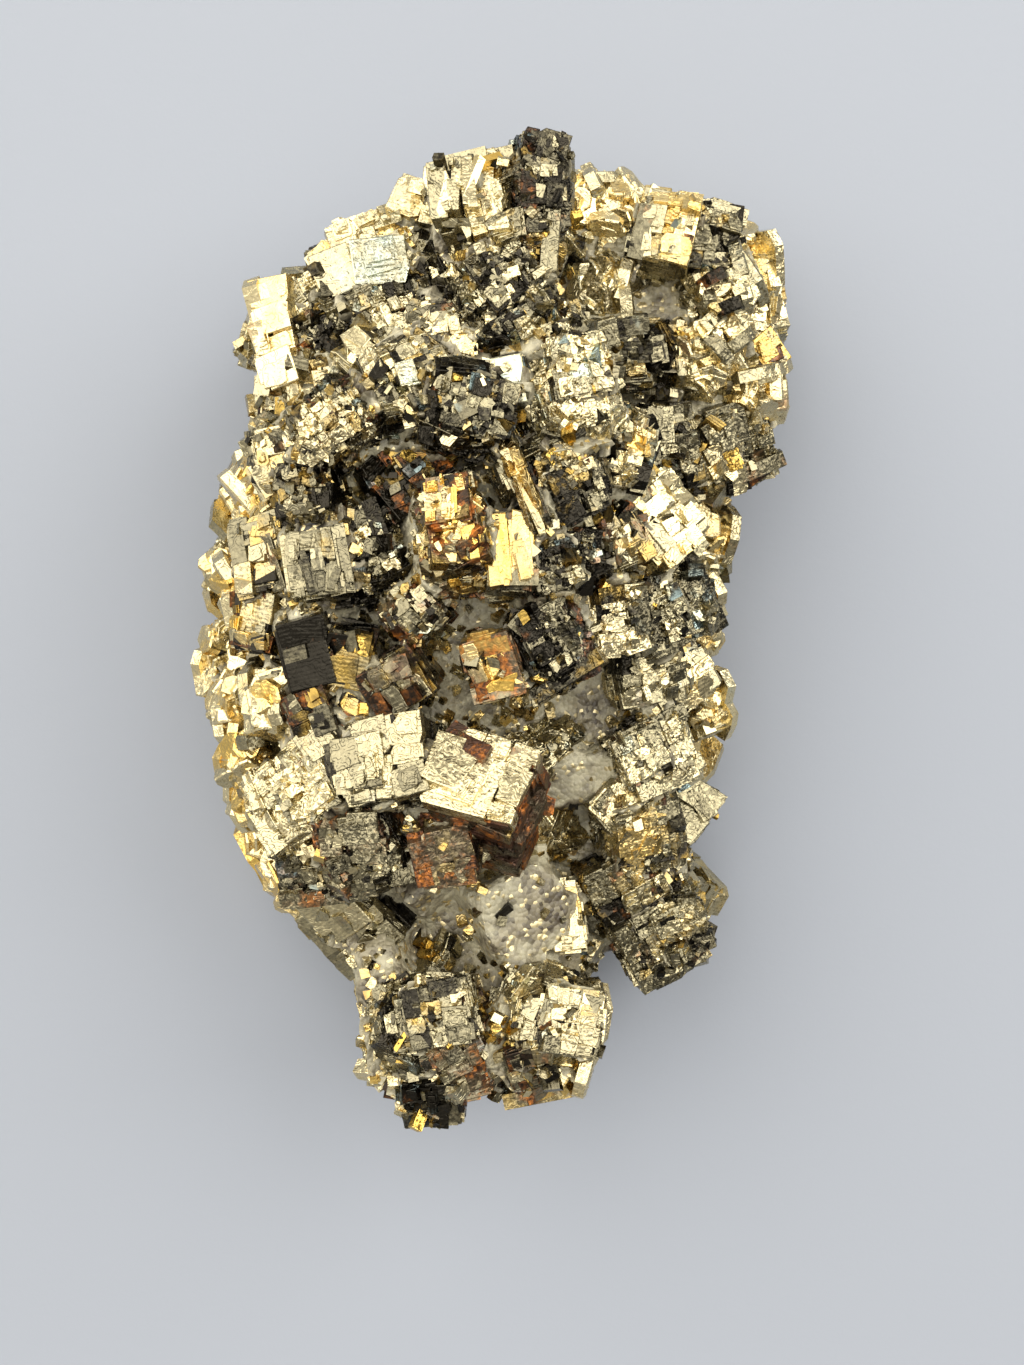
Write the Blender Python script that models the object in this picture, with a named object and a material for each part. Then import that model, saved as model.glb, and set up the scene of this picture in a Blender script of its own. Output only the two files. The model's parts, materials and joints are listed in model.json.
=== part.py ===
"""A pyrite specimen: blocky, stepped crystals grown together in one lump, resting on its flat broken base.

Lengths are in millimetres in the tables and are turned to metres when a mesh is made. +Z is up, +Y runs along
the specimen towards its tallest crystals, and the origin lies on the resting face, under the middle of the lump.
"""

import math

import bmesh
import bpy
from mathutils import Matrix, Vector

MM = 0.001
NAME = "pyrite_cluster"

# The middle of the lump's box as the tables place it, which the origin stands under
MIDDLE_X = -0.008
MIDDLE_Y = -0.547

# Lumps of the body that the crystals grow on: x, y, z of the middle, then the half sizes
BODY = (
    (-5.5, 5.0, 11.5, 13.0, 22.0, 12.0),
    (6.0, -2.0, 8.0, 10.0, 17.0, 9.6),
    (13.0, 22.8, 7.8, 8.0, 9.4, 8.2),
    (0.0, 25.0, 12.5, 6.0, 6.9, 9.2),
    (-1.5, -21.0, 8.5, 9.0, 8.5, 8.3),
    (-0.5, -28.5, 11.5, 7.0, 5.0, 5.5),
    (11.0, -19.0, 9.0, 4.6, 6.0, 5.4),
    (-11.0, -12.0, 11.0, 7.4, 8.0, 11.0),
    (-9.0, 19.5, 13.0, 8.3, 9.0, 9.2),
    (3.5, 11.0, 12.5, 8.0, 10.0, 10.0),
    (-3.0, -11.5, 12.0, 7.0, 7.0, 8.5),
    (-14.5, 0.0, 10.5, 6.3, 12.0, 8.5),
)

# Crystals: x, y, z of the middle, half sizes along its own axes, then its spin about its own upright axis,
# how far it leans from the upright, and the bearing that it leans to, both in degrees, 0 being +X and 90 +Y
CROWN = (
    (-0.6, 28.9, 23.4, 2.7, 3.3, 4.2, 8, 22, 115),
    (2.4, 29.2, 23.1, 2.5, 4.3, 4.4, -6, 10, 20),
    (-5.0, 30.0, 21.8, 2.0, 1.4, 2.6, -20, 10, 120),
    (-8.5, 27.1, 20.8, 2.7, 1.9, 3.2, 20, 15, 110),
    (-10.5, 25.8, 20.5, 1.9, 1.9, 2.8, 35, 20, 130),
    (-6.2, 26.5, 20.5, 2.1, 2.2, 3.1, 10, 10, 90),
    (-9.3, 24.8, 22.2, 3.3, 1.7, 3.0, 14, 12, 100),
)
NORTH_WEST = (
    (-14.4, 20.6, 22.0, 1.4, 4.0, 3.7, 8, 18, 180),
    (-12.6, 22.9, 22.0, 2.1, 1.8, 2.8, 25, 12, 140),
    (-11.5, 20.8, 22.6, 2.3, 2.2, 3.2, 40, 20, 200),
    (-8.0, 22.0, 22.4, 2.5, 2.4, 3.4, 15, 10, 330),
    (-6.0, 23.9, 22.4, 1.7, 1.7, 2.6, 30, 14, 300),
    (-13.0, 17.4, 22.5, 2.4, 1.9, 3.1, 10, 15, 250),
    (-8.9, 18.4, 23.9, 2.0, 1.9, 2.8, 50, 20, 80),
    (-15.0, 15.5, 20.3, 1.8, 2.4, 3.0, -10, 20, 190),
    (-14.5, 11.9, 22.5, 2.4, 2.4, 3.3, 12, 15, 200),
    (-2.2, 25.2, 21.5, 2.7, 2.4, 3.5, 20, 10, 60),
    (0.6, 22.4, 22.6, 3.4, 3.2, 4.3, 35, 8, 40),
    (3.9, 20.2, 22.2, 2.4, 2.8, 3.6, 10, 18, 350),
    (-3.4, 20.2, 23.3, 2.5, 2.1, 3.2, 5, 10, 120),
)
MIDDLE_RIDGE = (
    (1.2, 16.9, 25.6, 1.4, 1.6, 2.4, 12, 8, 200),
    (-6.1, 16.6, 24.7, 3.1, 2.6, 3.8, 28, 20, 70),
    (-2.4, 15.2, 26.0, 2.7, 3.1, 3.8, -15, 12, 320),
    (-10.7, 13.8, 24.5, 3.0, 2.4, 3.7, 35, 18, 150),
    (-12.8, 9.2, 24.2, 2.0, 2.2, 3.0, 5, 10, 180),
    (5.3, 15.6, 24.5, 3.2, 3.3, 4.3, 12, 12, 20),
    (8.5, 12.6, 22.8, 2.1, 2.9, 3.5, -12, 28, 0),
    (4.6, 11.2, 24.1, 2.8, 2.8, 3.8, 24, 12, 320),
    (1.7, 9.9, 24.8, 0.9, 3.9, 3.3, 23, 5, 0),
    (-2.4, 5.5, 25.8, 2.5, 2.8, 3.6, 6, 26, 110),
    (1.0, 4.8, 25.0, 1.6, 2.5, 3.0, 4, 8, 60),
    (-8.2, 4.6, 22.1, 2.6, 2.8, 3.7, 22, 10, 120),
    (-6.6, 10.0, 21.9, 2.5, 2.5, 3.5, 36, 12, 60),
    (-5.3, 1.0, 23.9, 2.0, 1.7, 2.7, 40, 14, 250),
    (4.7, 4.6, 22.7, 2.8, 2.7, 3.7, 18, 14, 10),
    (8.0, 6.5, 21.2, 2.0, 2.7, 3.3, 30, 24, 10),
)
WEST_FLANK = (
    (-12.3, 3.8, 24.8, 2.2, 2.3, 3.2, 8, 10, 60),
    (-15.8, 4.7, 22.1, 1.9, 2.7, 3.2, 12, 20, 160),
    (-16.4, 0.5, 21.5, 1.7, 2.2, 2.8, -6, 22, 190),
    (-12.9, -1.5, 24.3, 1.6, 2.4, 2.9, 10, 12, 260),
    (-10.3, -2.0, 24.4, 1.5, 1.9, 2.6, -12, 12, 280),
    (-16.0, 8.6, 19.0, 1.9, 2.5, 3.1, 16, 24, 180),
    (-16.8, 8.2, 15.2, 1.4, 3.0, 3.1, -12, 34, 180),
    (-17.7, 2.8, 17.1, 1.6, 2.3, 2.8, 10, 28, 180),
    (-20.2, -1.9, 13.8, 1.2, 2.6, 2.8, -16, 38, 180),
    (-18.2, -5.4, 15.8, 1.9, 2.5, 3.1, 8, 32, 180),
    (-15.5, -5.4, 22.4, 1.8, 2.3, 3.0, 4, 14, 220),
    (-12.4, -6.1, 24.1, 1.6, 1.7, 2.5, 20, 12, 200),
    (-17.3, -9.5, 19.5, 1.7, 2.1, 2.8, 0, 26, 190),
)
HEART = (
    (-6.5, -3.7, 24.7, 1.9, 1.8, 2.7, 32, 18, 240),
    (0.1, -2.6, 24.4, 1.7, 2.1, 2.8, 15, 12, 250),
    (4.1, -1.4, 23.5, 2.7, 2.8, 3.7, 30, 10, 300),
    (8.1, 0.7, 20.9, 2.0, 2.5, 3.2, 8, 20, 340),
    (-9.3, -6.2, 23.8, 1.5, 1.3, 2.2, 60, 10, 200),
    (-0.2, -12.6, 24.2, 3.2, 3.0, 4.8, -20, 28, 102),
    (-3.3, -15.7, 24.1, 2.0, 2.0, 2.9, 12, 12, 260),
    (-6.8, -10.1, 23.8, 3.0, 2.9, 3.9, 10, 18, 140),
    (-9.0, -15.5, 22.2, 3.4, 3.0, 4.2, 18, 14, 260),
    (-13.3, -12.7, 21.8, 3.2, 3.2, 4.2, 30, 18, 165),
    (-12.3, -16.8, 20.7, 2.7, 2.3, 3.5, 5, 20, 250),
    (-12.0, -9.4, 23.7, 2.0, 2.0, 2.9, 42, 10, 180),
)
EAST_FLANK = (
    (11.1, 7.5, 18.2, 2.9, 2.7, 3.8, 38, 20, 20),
    (11.9, 1.8, 16.0, 3.3, 3.2, 4.3, 25, 22, 0),
    (15.0, 6.9, 12.9, 2.1, 2.4, 3.2, 5, 35, 0),
    (15.0, 2.2, 12.6, 1.8, 1.8, 2.7, 20, 30, 350),
    (10.9, -3.1, 16.1, 2.6, 2.3, 3.4, 10, 20, 340),
    (15.4, -6.0, 11.3, 1.5, 2.3, 2.8, 10, 40, 0),
    (13.5, -3.9, 13.7, 2.3, 2.2, 3.2, 35, 22, 10),
    (11.4, -9.6, 15.2, 2.9, 2.8, 3.8, 22, 18, 10),
    (9.9, -13.1, 15.4, 2.5, 2.4, 3.4, 40, 12, 330),
    (10.9, -15.3, 14.4, 2.6, 2.7, 3.6, 8, 20, 340),
    (9.5, -18.7, 13.7, 2.8, 2.3, 3.5, 30, 16, 300),
    (12.4, -23.4, 12.3, 3.1, 3.0, 4.1, 24, 14, 310),
)
FOOT = (
    (-10.0, -21.4, 13.6, 3.1, 3.1, 4.2, 40, 24, 235),
    (-5.2, -29.4, 18.8, 3.7, 3.5, 4.4, 12, 10, 130),
    (-4.8, -31.7, 17.8, 3.3, 2.9, 4.4, 4, 22, 262),
    (-2.3, -30.8, 17.8, 2.6, 3.5, 4.2, 24, 20, 330),
    (-6.9, -30.8, 17.8, 2.1, 3.0, 4.2, -6, 18, 185),
    (3.6, -29.0, 18.4, 3.3, 3.7, 4.2, -10, 8, 60),
    (3.2, -31.8, 17.4, 2.9, 2.6, 4.0, 14, 22, 265),
    (4.9, -30.2, 17.4, 2.2, 3.4, 4.2, -10, 20, 0),
    (-0.6, -31.8, 15.0, 2.3, 2.0, 3.8, 20, 12, 270),
    (-8.2, -26.0, 15.8, 1.8, 2.2, 3.2, 10, 14, 180),
    (4.6, -22.4, 14.2, 2.0, 2.5, 3.2, 5, 10, 90),
)
NORTH_EAST_LOBE = (
    (6.5, 32.1, 14.3, 2.4, 2.4, 3.3, 20, 12, 100),
    (9.5, 31.2, 14.4, 2.2, 2.7, 3.4, 8, 14, 90),
    (9.7, 27.7, 13.9, 2.6, 2.2, 3.3, 30, 12, 120),
    (12.9, 29.6, 15.1, 2.2, 2.9, 3.5, -14, 10, 90),
    (15.9, 28.9, 14.3, 2.1, 2.9, 3.5, -10, 14, 40),
    (18.3, 28.0, 13.0, 2.2, 2.5, 3.3, 16, 24, 30),
    (18.8, 25.9, 13.1, 2.1, 2.4, 3.2, 0, 22, 0),
    (16.9, 26.0, 14.4, 2.8, 2.5, 3.6, 24, 10, 60),
    (18.8, 21.9, 13.0, 2.1, 2.3, 3.1, 18, 20, 0),
    (9.7, 21.1, 14.6, 3.9, 2.5, 4.2, 8, 16, 300),
    (15.5, 20.6, 14.3, 2.9, 2.6, 3.7, 32, 12, 20),
    (19.5, 18.3, 12.6, 2.4, 2.3, 3.3, 10, 22, 350),
    (16.7, 14.9, 10.9, 3.8, 3.4, 4.7, 20, 24, 320),
    (12.3, 14.4, 14.0, 2.3, 2.6, 3.4, 10, 14, 340),
    (7.7, 25.2, 15.7, 2.2, 2.7, 3.4, 5, 20, 330),
)
PLACED = CROWN + NORTH_WEST + MIDDLE_RIDGE + WEST_FLANK + HEART + EAST_FLANK + FOOT + NORTH_EAST_LOBE

# Smaller crystals cover the rest of the body by a rule
FILL_SPACING = 7.1
FILL_HALF = 2.3
FILL_GROWTH = 1.2
FILL_SUNK = 0.35
FILL_CLEARANCE = 1.2
FILL_LOWEST = 1.5
FILL_HIGHEST = 17.0
INSIDE_ANOTHER_LUMP = 0.95

# An outer corner is cut back by this share of the least half size, between these two, more along one axis
CORNER_LEAST = 0.22
CORNER_MOST = 0.62
CORNER_SKEW = (1.3, 1.0, 0.7)

# Growth steps: a narrower block stands this far out of a larger crystal's top and of one of its sides
STEP_RISE = 0.5
STEP_SHARE = 0.62
STEP_SHIFT = 0.25
LEAST_STEPPED_HALF = 2.4

FLAT = math.radians(0.5)
GOLDEN_ANGLE = math.pi * (3 - math.sqrt(5))
PLASTIC_NUMBER = 1.3247179572447460


def scatter(index, channel):
    """A share from 0 to 1 that jumps about as index and channel go up, the same each run."""
    return (0.5 + index / PLASTIC_NUMBER + channel / PLASTIC_NUMBER**2 + index * channel * 0.1031) % 1.0


def axes(spin, lean, bearing):
    """The turn of a crystal that is spun about its own upright axis and then leans towards a bearing, in degrees."""
    toward = Matrix.Rotation(math.radians(bearing), 3, "Z")
    leaning = Matrix.Rotation(math.radians(lean), 3, "Y")
    spun = Matrix.Rotation(math.radians(spin), 3, "Z")
    return toward @ leaning @ toward.inverted() @ spun


def inside_lump(point, lump):
    """How far out of a body lump a point is: under 1 inside it, 1 on its surface."""
    x, y, z, half_x, half_y, half_z = lump
    return ((point.x - x) / half_x) ** 2 + ((point.y - y) / half_y) ** 2 + ((point.z - z) / half_z) ** 2


def near_placed(point):
    """Whether a placed crystal already covers this point."""
    for x, y, z, half_x, half_y, half_z, *_ in PLACED:
        reach = (half_x + half_y + half_z) / 3 + FILL_CLEARANCE
        if (point - Vector((x, y, z))).length < reach:
            return True
    return False


def fill_crystals():
    """Crystals spread evenly over each body lump, in the same form as the tables."""
    found = []
    for number, lump in enumerate(BODY):
        x, y, z, half_x, half_y, half_z = lump
        mean = (half_x * half_y + half_y * half_z + half_z * half_x) / 3
        count = round(4 * math.pi * mean / FILL_SPACING**2)
        for i in range(count):
            up = 1 - 2 * (i + 0.5) / count
            ring = math.sqrt(1 - up * up)
            turn = i * GOLDEN_ANGLE
            way = Vector((ring * math.cos(turn), ring * math.sin(turn), up))
            point = Vector((x + half_x * way.x, y + half_y * way.y, z + half_z * way.z))
            normal = Vector((way.x / half_x, way.y / half_y, way.z / half_z)).normalized()
            hidden = any(inside_lump(point, other) < INSIDE_ANOTHER_LUMP for other in BODY if other is not lump)
            if hidden or near_placed(point) or not FILL_LOWEST < point.z < FILL_HIGHEST:
                continue
            key = 97 * number + i
            half = FILL_HALF + FILL_GROWTH * scatter(key, 1)
            middle = point - normal * half * FILL_SUNK
            lean = math.degrees(math.acos(normal.z)) + 24 * (scatter(key, 2) - 0.5)
            bearing = math.degrees(math.atan2(normal.y, normal.x)) + 24 * (scatter(key, 3) - 0.5)
            narrow = 0.75 + 0.25 * scatter(key, 4)
            found.append((*middle, half, half * narrow, half * 1.2, 90 * scatter(key, 5), lean, bearing))
    return tuple(found)


def corner_points(half, key):
    """The points of a block whose four outer corners are cut back unevenly, three points to a corner."""
    points = []
    least = min(half)
    for corner in range(8):
        sign = (corner % 2 * 2 - 1, corner // 2 % 2 * 2 - 1, corner // 4 * 2 - 1)
        tip = [sign[axis] * half[axis] for axis in range(3)]
        if sign[2] < 0:
            points.append(tip)
            continue
        cut = least * (CORNER_LEAST + (CORNER_MOST - CORNER_LEAST) * scatter(key, corner + 1))
        for axis in range(3):
            point = list(tip)
            point[axis] -= sign[axis] * cut * CORNER_SKEW[(axis + key) % 3]
            points.append(point)
    return points


def place(bm, middle, turn):
    """Moves a mesh made about its own middle to its place, in metres."""
    origin = Vector((MIDDLE_X, MIDDLE_Y, 0))
    where = Matrix.Translation((Vector(middle) - origin) * MM) @ turn.to_4x4() @ Matrix.Scale(MM, 4)
    bm.transform(where)


def add_object(bm, name, collection, material=None):
    """Links a new object that holds this mesh."""
    mesh = bpy.data.meshes.new(name)
    bm.to_mesh(mesh)
    bm.free()
    obj = bpy.data.objects.new(name, mesh)
    collection.objects.link(obj)
    if material:
        mesh.materials.append(material)
    return obj


def add_helper(bm, name, collection):
    """A shape that a Boolean joins or cuts with, and that isn't a piece itself."""
    obj = add_object(bm, name, collection)
    obj.display_type = "WIRE"
    obj.hide_render = True


def lump_mesh(lump):
    """A coarse rounded lump of the body, in its place."""
    x, y, z, *half = lump
    bm = bmesh.new()
    bmesh.ops.create_icosphere(bm, subdivisions=2, radius=1)
    bm.transform(Matrix.Diagonal((*half, 1)))
    place(bm, (x, y, z), Matrix.Identity(3))
    return bm


def add_crystal(key, crystal, collection):
    """A block with cut corners, in its place."""
    x, y, z, *half = crystal[:6]
    bm = bmesh.new()
    for point in corner_points(half, key):
        bm.verts.new(point)
    bmesh.ops.convex_hull(bm, input=bm.verts)
    bmesh.ops.dissolve_limit(bm, angle_limit=FLAT, verts=bm.verts, edges=bm.edges)
    place(bm, (x, y, z), axes(*crystal[6:]))
    add_helper(bm, f"crystal_{key}", collection)


def add_growth_step(key, crystal, collection):
    """A narrower block that stands out of the crystal's top and of one of its sides."""
    x, y, z, *half = crystal[:6]
    side = key % 2
    other = 1 - side
    size = [0, 0, half[2] + STEP_RISE]
    size[side] = half[side] * STEP_SHARE
    size[other] = half[other] * STEP_SHARE
    shift = [0, 0, 0]
    shift[side] = (half[side] + STEP_RISE - size[side]) * (1 if scatter(key, 1) > 0.5 else -1)
    shift[other] = half[other] * STEP_SHIFT * (2 * scatter(key, 2) - 1)
    bm = bmesh.new()
    bmesh.ops.create_cube(bm, size=2, matrix=Matrix.Translation(shift) @ Matrix.Diagonal((*size, 1)))
    place(bm, (x, y, z), axes(*crystal[6:]))
    add_helper(bm, f"step_{key}", collection)


def pyrite_material():
    material = bpy.data.materials.new("pyrite")
    material.use_nodes = True
    shader = material.node_tree.nodes["Principled BSDF"]
    shader.inputs["Base Color"].default_value = (0.56, 0.44, 0.20, 1)
    shader.inputs["Metallic"].default_value = 1.0
    shader.inputs["Roughness"].default_value = 0.28
    return material


def new_collection(name):
    collection = bpy.data.collections.new(name)
    bpy.context.scene.collection.children.link(collection)
    return collection


def add_boolean(obj, operation, collection):
    """Joins or cuts an object with all that a collection holds."""
    modifier = obj.modifiers.new(operation.title(), "BOOLEAN")
    modifier.operation = operation
    modifier.operand_type = "COLLECTION"
    modifier.collection = collection
    modifier.solver = "EXACT"


def connected(start):
    """The faces joined to this one by edges, itself included."""
    found = {start}
    waiting = [start]
    while waiting:
        face = waiting.pop()
        for edge in face.edges:
            for other in edge.link_faces:
                if other not in found:
                    found.add(other)
                    waiting.append(other)
    return found


def enclosed_volume(faces):
    """The volume inside a closed skin, below nought for a skin that faces inwards round a pocket."""
    total = 0
    for face in faces:
        corners = [vertex.co for vertex in face.verts]
        for second, third in zip(corners[1:], corners[2:]):
            total += corners[0].dot(second.cross(third)) / 6
    return total


def keep_outer_skin(obj):
    """Turns the joined shape into a plain mesh and fills the sealed pockets between crystals."""
    graph = bpy.context.evaluated_depsgraph_get()
    mesh = bpy.data.meshes.new_from_object(obj.evaluated_get(graph))
    bm = bmesh.new()
    bm.from_mesh(mesh)
    waiting = set(bm.faces)
    pockets = []
    solids = 0
    while waiting:
        skin = connected(next(iter(waiting)))
        waiting -= skin
        if enclosed_volume(skin) < 0:
            pockets.extend(skin)
        else:
            solids += 1
    if solids != 1:
        raise RuntimeError(f"the crystals make {solids} separate solids")
    bmesh.ops.delete(bm, geom=pockets, context="FACES")
    bmesh.ops.dissolve_limit(bm, angle_limit=FLAT, verts=bm.verts, edges=bm.edges)
    bm.to_mesh(mesh)
    bm.free()
    obj.modifiers.clear()
    obj.data = mesh
    mesh.name = obj.name


def main():
    for obj in list(bpy.data.objects):
        bpy.data.objects.remove(obj)
    specimen = new_collection("pyrite_specimen")
    growths = new_collection("growths")
    cutters = new_collection("cutters")

    for number, lump in enumerate(BODY[1:]):
        add_helper(lump_mesh(lump), f"lump_{number}", growths)
    for key, crystal in enumerate(PLACED + fill_crystals()):
        add_crystal(key, crystal, growths)
        if key < len(PLACED) and min(crystal[3:6]) > LEAST_STEPPED_HALF:
            add_growth_step(key, crystal, growths)

    ground = bmesh.new()
    bmesh.ops.create_cube(ground, size=1, matrix=Matrix.Diagonal((140, 140, 40, 1)))
    place(ground, (0, 0, -20), Matrix.Identity(3))
    add_helper(ground, "break_plane", cutters)

    cluster = add_object(lump_mesh(BODY[0]), NAME, specimen, pyrite_material())
    add_boolean(cluster, "UNION", growths)
    add_boolean(cluster, "DIFFERENCE", cutters)
    keep_outer_skin(cluster)


main()
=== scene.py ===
"""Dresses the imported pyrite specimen: a mosaic of stepped crystal plates, the matrix and the smallest crystals.

Lengths in the tables are in millimetres, in the same places as the solid's own tables.
"""

import json
import math

import bmesh
import bpy
import numpy as np
from bpy.props import FloatProperty, IntProperty, PointerProperty, StringProperty
from mathutils import Matrix, Quaternion, Vector, noise

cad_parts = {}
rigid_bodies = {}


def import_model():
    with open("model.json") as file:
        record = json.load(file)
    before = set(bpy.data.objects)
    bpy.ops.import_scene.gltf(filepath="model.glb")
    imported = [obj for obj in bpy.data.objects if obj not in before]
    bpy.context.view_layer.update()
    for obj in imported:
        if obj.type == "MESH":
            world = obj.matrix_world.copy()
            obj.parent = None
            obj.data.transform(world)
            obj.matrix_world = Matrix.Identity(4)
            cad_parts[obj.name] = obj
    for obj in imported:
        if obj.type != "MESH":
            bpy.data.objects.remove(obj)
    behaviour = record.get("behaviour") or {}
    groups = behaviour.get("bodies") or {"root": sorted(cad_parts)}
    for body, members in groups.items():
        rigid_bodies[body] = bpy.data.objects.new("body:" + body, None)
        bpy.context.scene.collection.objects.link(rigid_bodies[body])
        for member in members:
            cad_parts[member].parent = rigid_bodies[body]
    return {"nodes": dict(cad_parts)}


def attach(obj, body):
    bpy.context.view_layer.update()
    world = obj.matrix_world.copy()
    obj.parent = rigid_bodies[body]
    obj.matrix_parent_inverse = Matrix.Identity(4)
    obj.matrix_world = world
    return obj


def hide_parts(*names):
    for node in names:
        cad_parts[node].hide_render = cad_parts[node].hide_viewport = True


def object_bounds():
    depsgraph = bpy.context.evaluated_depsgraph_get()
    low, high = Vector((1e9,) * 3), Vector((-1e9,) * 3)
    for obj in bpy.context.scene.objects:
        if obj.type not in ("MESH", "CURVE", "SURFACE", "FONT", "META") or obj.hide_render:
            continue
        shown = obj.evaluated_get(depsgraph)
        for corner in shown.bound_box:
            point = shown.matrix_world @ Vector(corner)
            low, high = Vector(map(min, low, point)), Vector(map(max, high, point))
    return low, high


bl_info = {
    "name": "Pyrite Specimen",
    "version": (1, 0, 0),
    "blender": (4, 5, 0),
    "location": "View3D > Sidebar > Specimen",
    "description": "Builds the visible surface of a natural pyrite crystal cluster",
    "category": "Add Mesh",
}

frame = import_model()
CAD_BOX = [list(corner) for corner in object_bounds()]
CLUSTER = "pyrite_cluster"
MM = 0.001
# The middle of the lump's box as the tables place it, which the origin stands under
MIDDLE = np.array((-0.008, -0.547, 0.0))

# Lumps of the body that the crystals grow on: x, y, z of the middle, then the half sizes
BODY = (
    (-5.5, 5.0, 11.5, 13.0, 22.0, 12.0),
    (6.0, -2.0, 8.0, 10.0, 17.0, 9.6),
    (13.0, 22.8, 7.8, 8.0, 9.4, 8.2),
    (0.0, 25.0, 12.5, 6.0, 6.9, 9.2),
    (-1.5, -21.0, 8.5, 9.0, 8.5, 8.3),
    (-0.5, -28.5, 11.5, 7.0, 5.0, 5.5),
    (11.0, -19.0, 9.0, 4.6, 6.0, 5.4),
    (-11.0, -12.0, 11.0, 7.4, 8.0, 11.0),
    (-9.0, 19.5, 13.0, 8.3, 9.0, 9.2),
    (3.5, 11.0, 12.5, 8.0, 10.0, 10.0),
    (-3.0, -11.5, 12.0, 7.0, 7.0, 8.5),
    (-14.5, 0.0, 10.5, 6.3, 12.0, 8.5),
)

# Crystals: x, y, z of the middle, half sizes along its own axes, then its spin about its own upright axis,
# how far it leans from the upright, and the bearing that it leans to, both in degrees, 0 being +X and 90 +Y
CROWN = (
    (-0.6, 28.9, 23.4, 2.7, 3.3, 4.2, 8, 22, 115),
    (2.4, 29.2, 23.1, 2.5, 4.3, 4.4, -6, 10, 20),
    (-5.0, 30.0, 21.8, 2.0, 1.4, 2.6, -20, 10, 120),
    (-8.5, 27.1, 20.8, 2.7, 1.9, 3.2, 20, 15, 110),
    (-10.5, 25.8, 20.5, 1.9, 1.9, 2.8, 35, 20, 130),
    (-6.2, 26.5, 20.5, 2.1, 2.2, 3.1, 10, 10, 90),
    (-9.3, 24.8, 22.2, 3.3, 1.7, 3.0, 14, 12, 100),
)
NORTH_WEST = (
    (-14.4, 20.6, 22.0, 1.4, 4.0, 3.7, 8, 18, 180),
    (-12.6, 22.9, 22.0, 2.1, 1.8, 2.8, 25, 12, 140),
    (-11.5, 20.8, 22.6, 2.3, 2.2, 3.2, 40, 20, 200),
    (-8.0, 22.0, 22.4, 2.5, 2.4, 3.4, 15, 10, 330),
    (-6.0, 23.9, 22.4, 1.7, 1.7, 2.6, 30, 14, 300),
    (-13.0, 17.4, 22.5, 2.4, 1.9, 3.1, 10, 15, 250),
    (-8.9, 18.4, 23.9, 2.0, 1.9, 2.8, 50, 20, 80),
    (-15.0, 15.5, 20.3, 1.8, 2.4, 3.0, -10, 20, 190),
    (-14.5, 11.9, 22.5, 2.4, 2.4, 3.3, 12, 15, 200),
    (-2.2, 25.2, 21.5, 2.7, 2.4, 3.5, 20, 10, 60),
    (0.6, 22.4, 22.6, 3.4, 3.2, 4.3, 35, 8, 40),
    (3.9, 20.2, 22.2, 2.4, 2.8, 3.6, 10, 18, 350),
    (-3.4, 20.2, 23.3, 2.5, 2.1, 3.2, 5, 10, 120),
)
MIDDLE_RIDGE = (
    (1.2, 16.9, 25.6, 1.4, 1.6, 2.4, 12, 8, 200),
    (-6.1, 16.6, 24.7, 3.1, 2.6, 3.8, 28, 20, 70),
    (-2.4, 15.2, 26.0, 2.7, 3.1, 3.8, -15, 12, 320),
    (-10.7, 13.8, 24.5, 3.0, 2.4, 3.7, 35, 18, 150),
    (-12.8, 9.2, 24.2, 2.0, 2.2, 3.0, 5, 10, 180),
    (5.3, 15.6, 24.5, 3.2, 3.3, 4.3, 12, 12, 20),
    (8.5, 12.6, 22.8, 2.1, 2.9, 3.5, -12, 28, 0),
    (4.6, 11.2, 24.1, 2.8, 2.8, 3.8, 24, 12, 320),
    (1.7, 9.9, 24.8, 0.9, 3.9, 3.3, 23, 5, 0),
    (-2.4, 5.5, 25.8, 2.5, 2.8, 3.6, 6, 26, 110),
    (1.0, 4.8, 25.0, 1.6, 2.5, 3.0, 4, 8, 60),
    (-8.2, 4.6, 22.1, 2.6, 2.8, 3.7, 22, 10, 120),
    (-6.6, 10.0, 21.9, 2.5, 2.5, 3.5, 36, 12, 60),
    (-5.3, 1.0, 23.9, 2.0, 1.7, 2.7, 40, 14, 250),
    (4.7, 4.6, 22.7, 2.8, 2.7, 3.7, 18, 14, 10),
    (8.0, 6.5, 21.2, 2.0, 2.7, 3.3, 30, 24, 10),
)
WEST_FLANK = (
    (-12.3, 3.8, 24.8, 2.2, 2.3, 3.2, 8, 10, 60),
    (-15.8, 4.7, 22.1, 1.9, 2.7, 3.2, 12, 20, 160),
    (-16.4, 0.5, 21.5, 1.7, 2.2, 2.8, -6, 22, 190),
    (-12.9, -1.5, 24.3, 1.6, 2.4, 2.9, 10, 12, 260),
    (-10.3, -2.0, 24.4, 1.5, 1.9, 2.6, -12, 12, 280),
    (-16.0, 8.6, 19.0, 1.9, 2.5, 3.1, 16, 24, 180),
    (-16.8, 8.2, 15.2, 1.4, 3.0, 3.1, -12, 34, 180),
    (-17.7, 2.8, 17.1, 1.6, 2.3, 2.8, 10, 28, 180),
    (-20.2, -1.9, 13.8, 1.2, 2.6, 2.8, -16, 38, 180),
    (-18.2, -5.4, 15.8, 1.9, 2.5, 3.1, 8, 32, 180),
    (-15.5, -5.4, 22.4, 1.8, 2.3, 3.0, 4, 14, 220),
    (-12.4, -6.1, 24.1, 1.6, 1.7, 2.5, 20, 12, 200),
    (-17.3, -9.5, 19.5, 1.7, 2.1, 2.8, 0, 26, 190),
)
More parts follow.
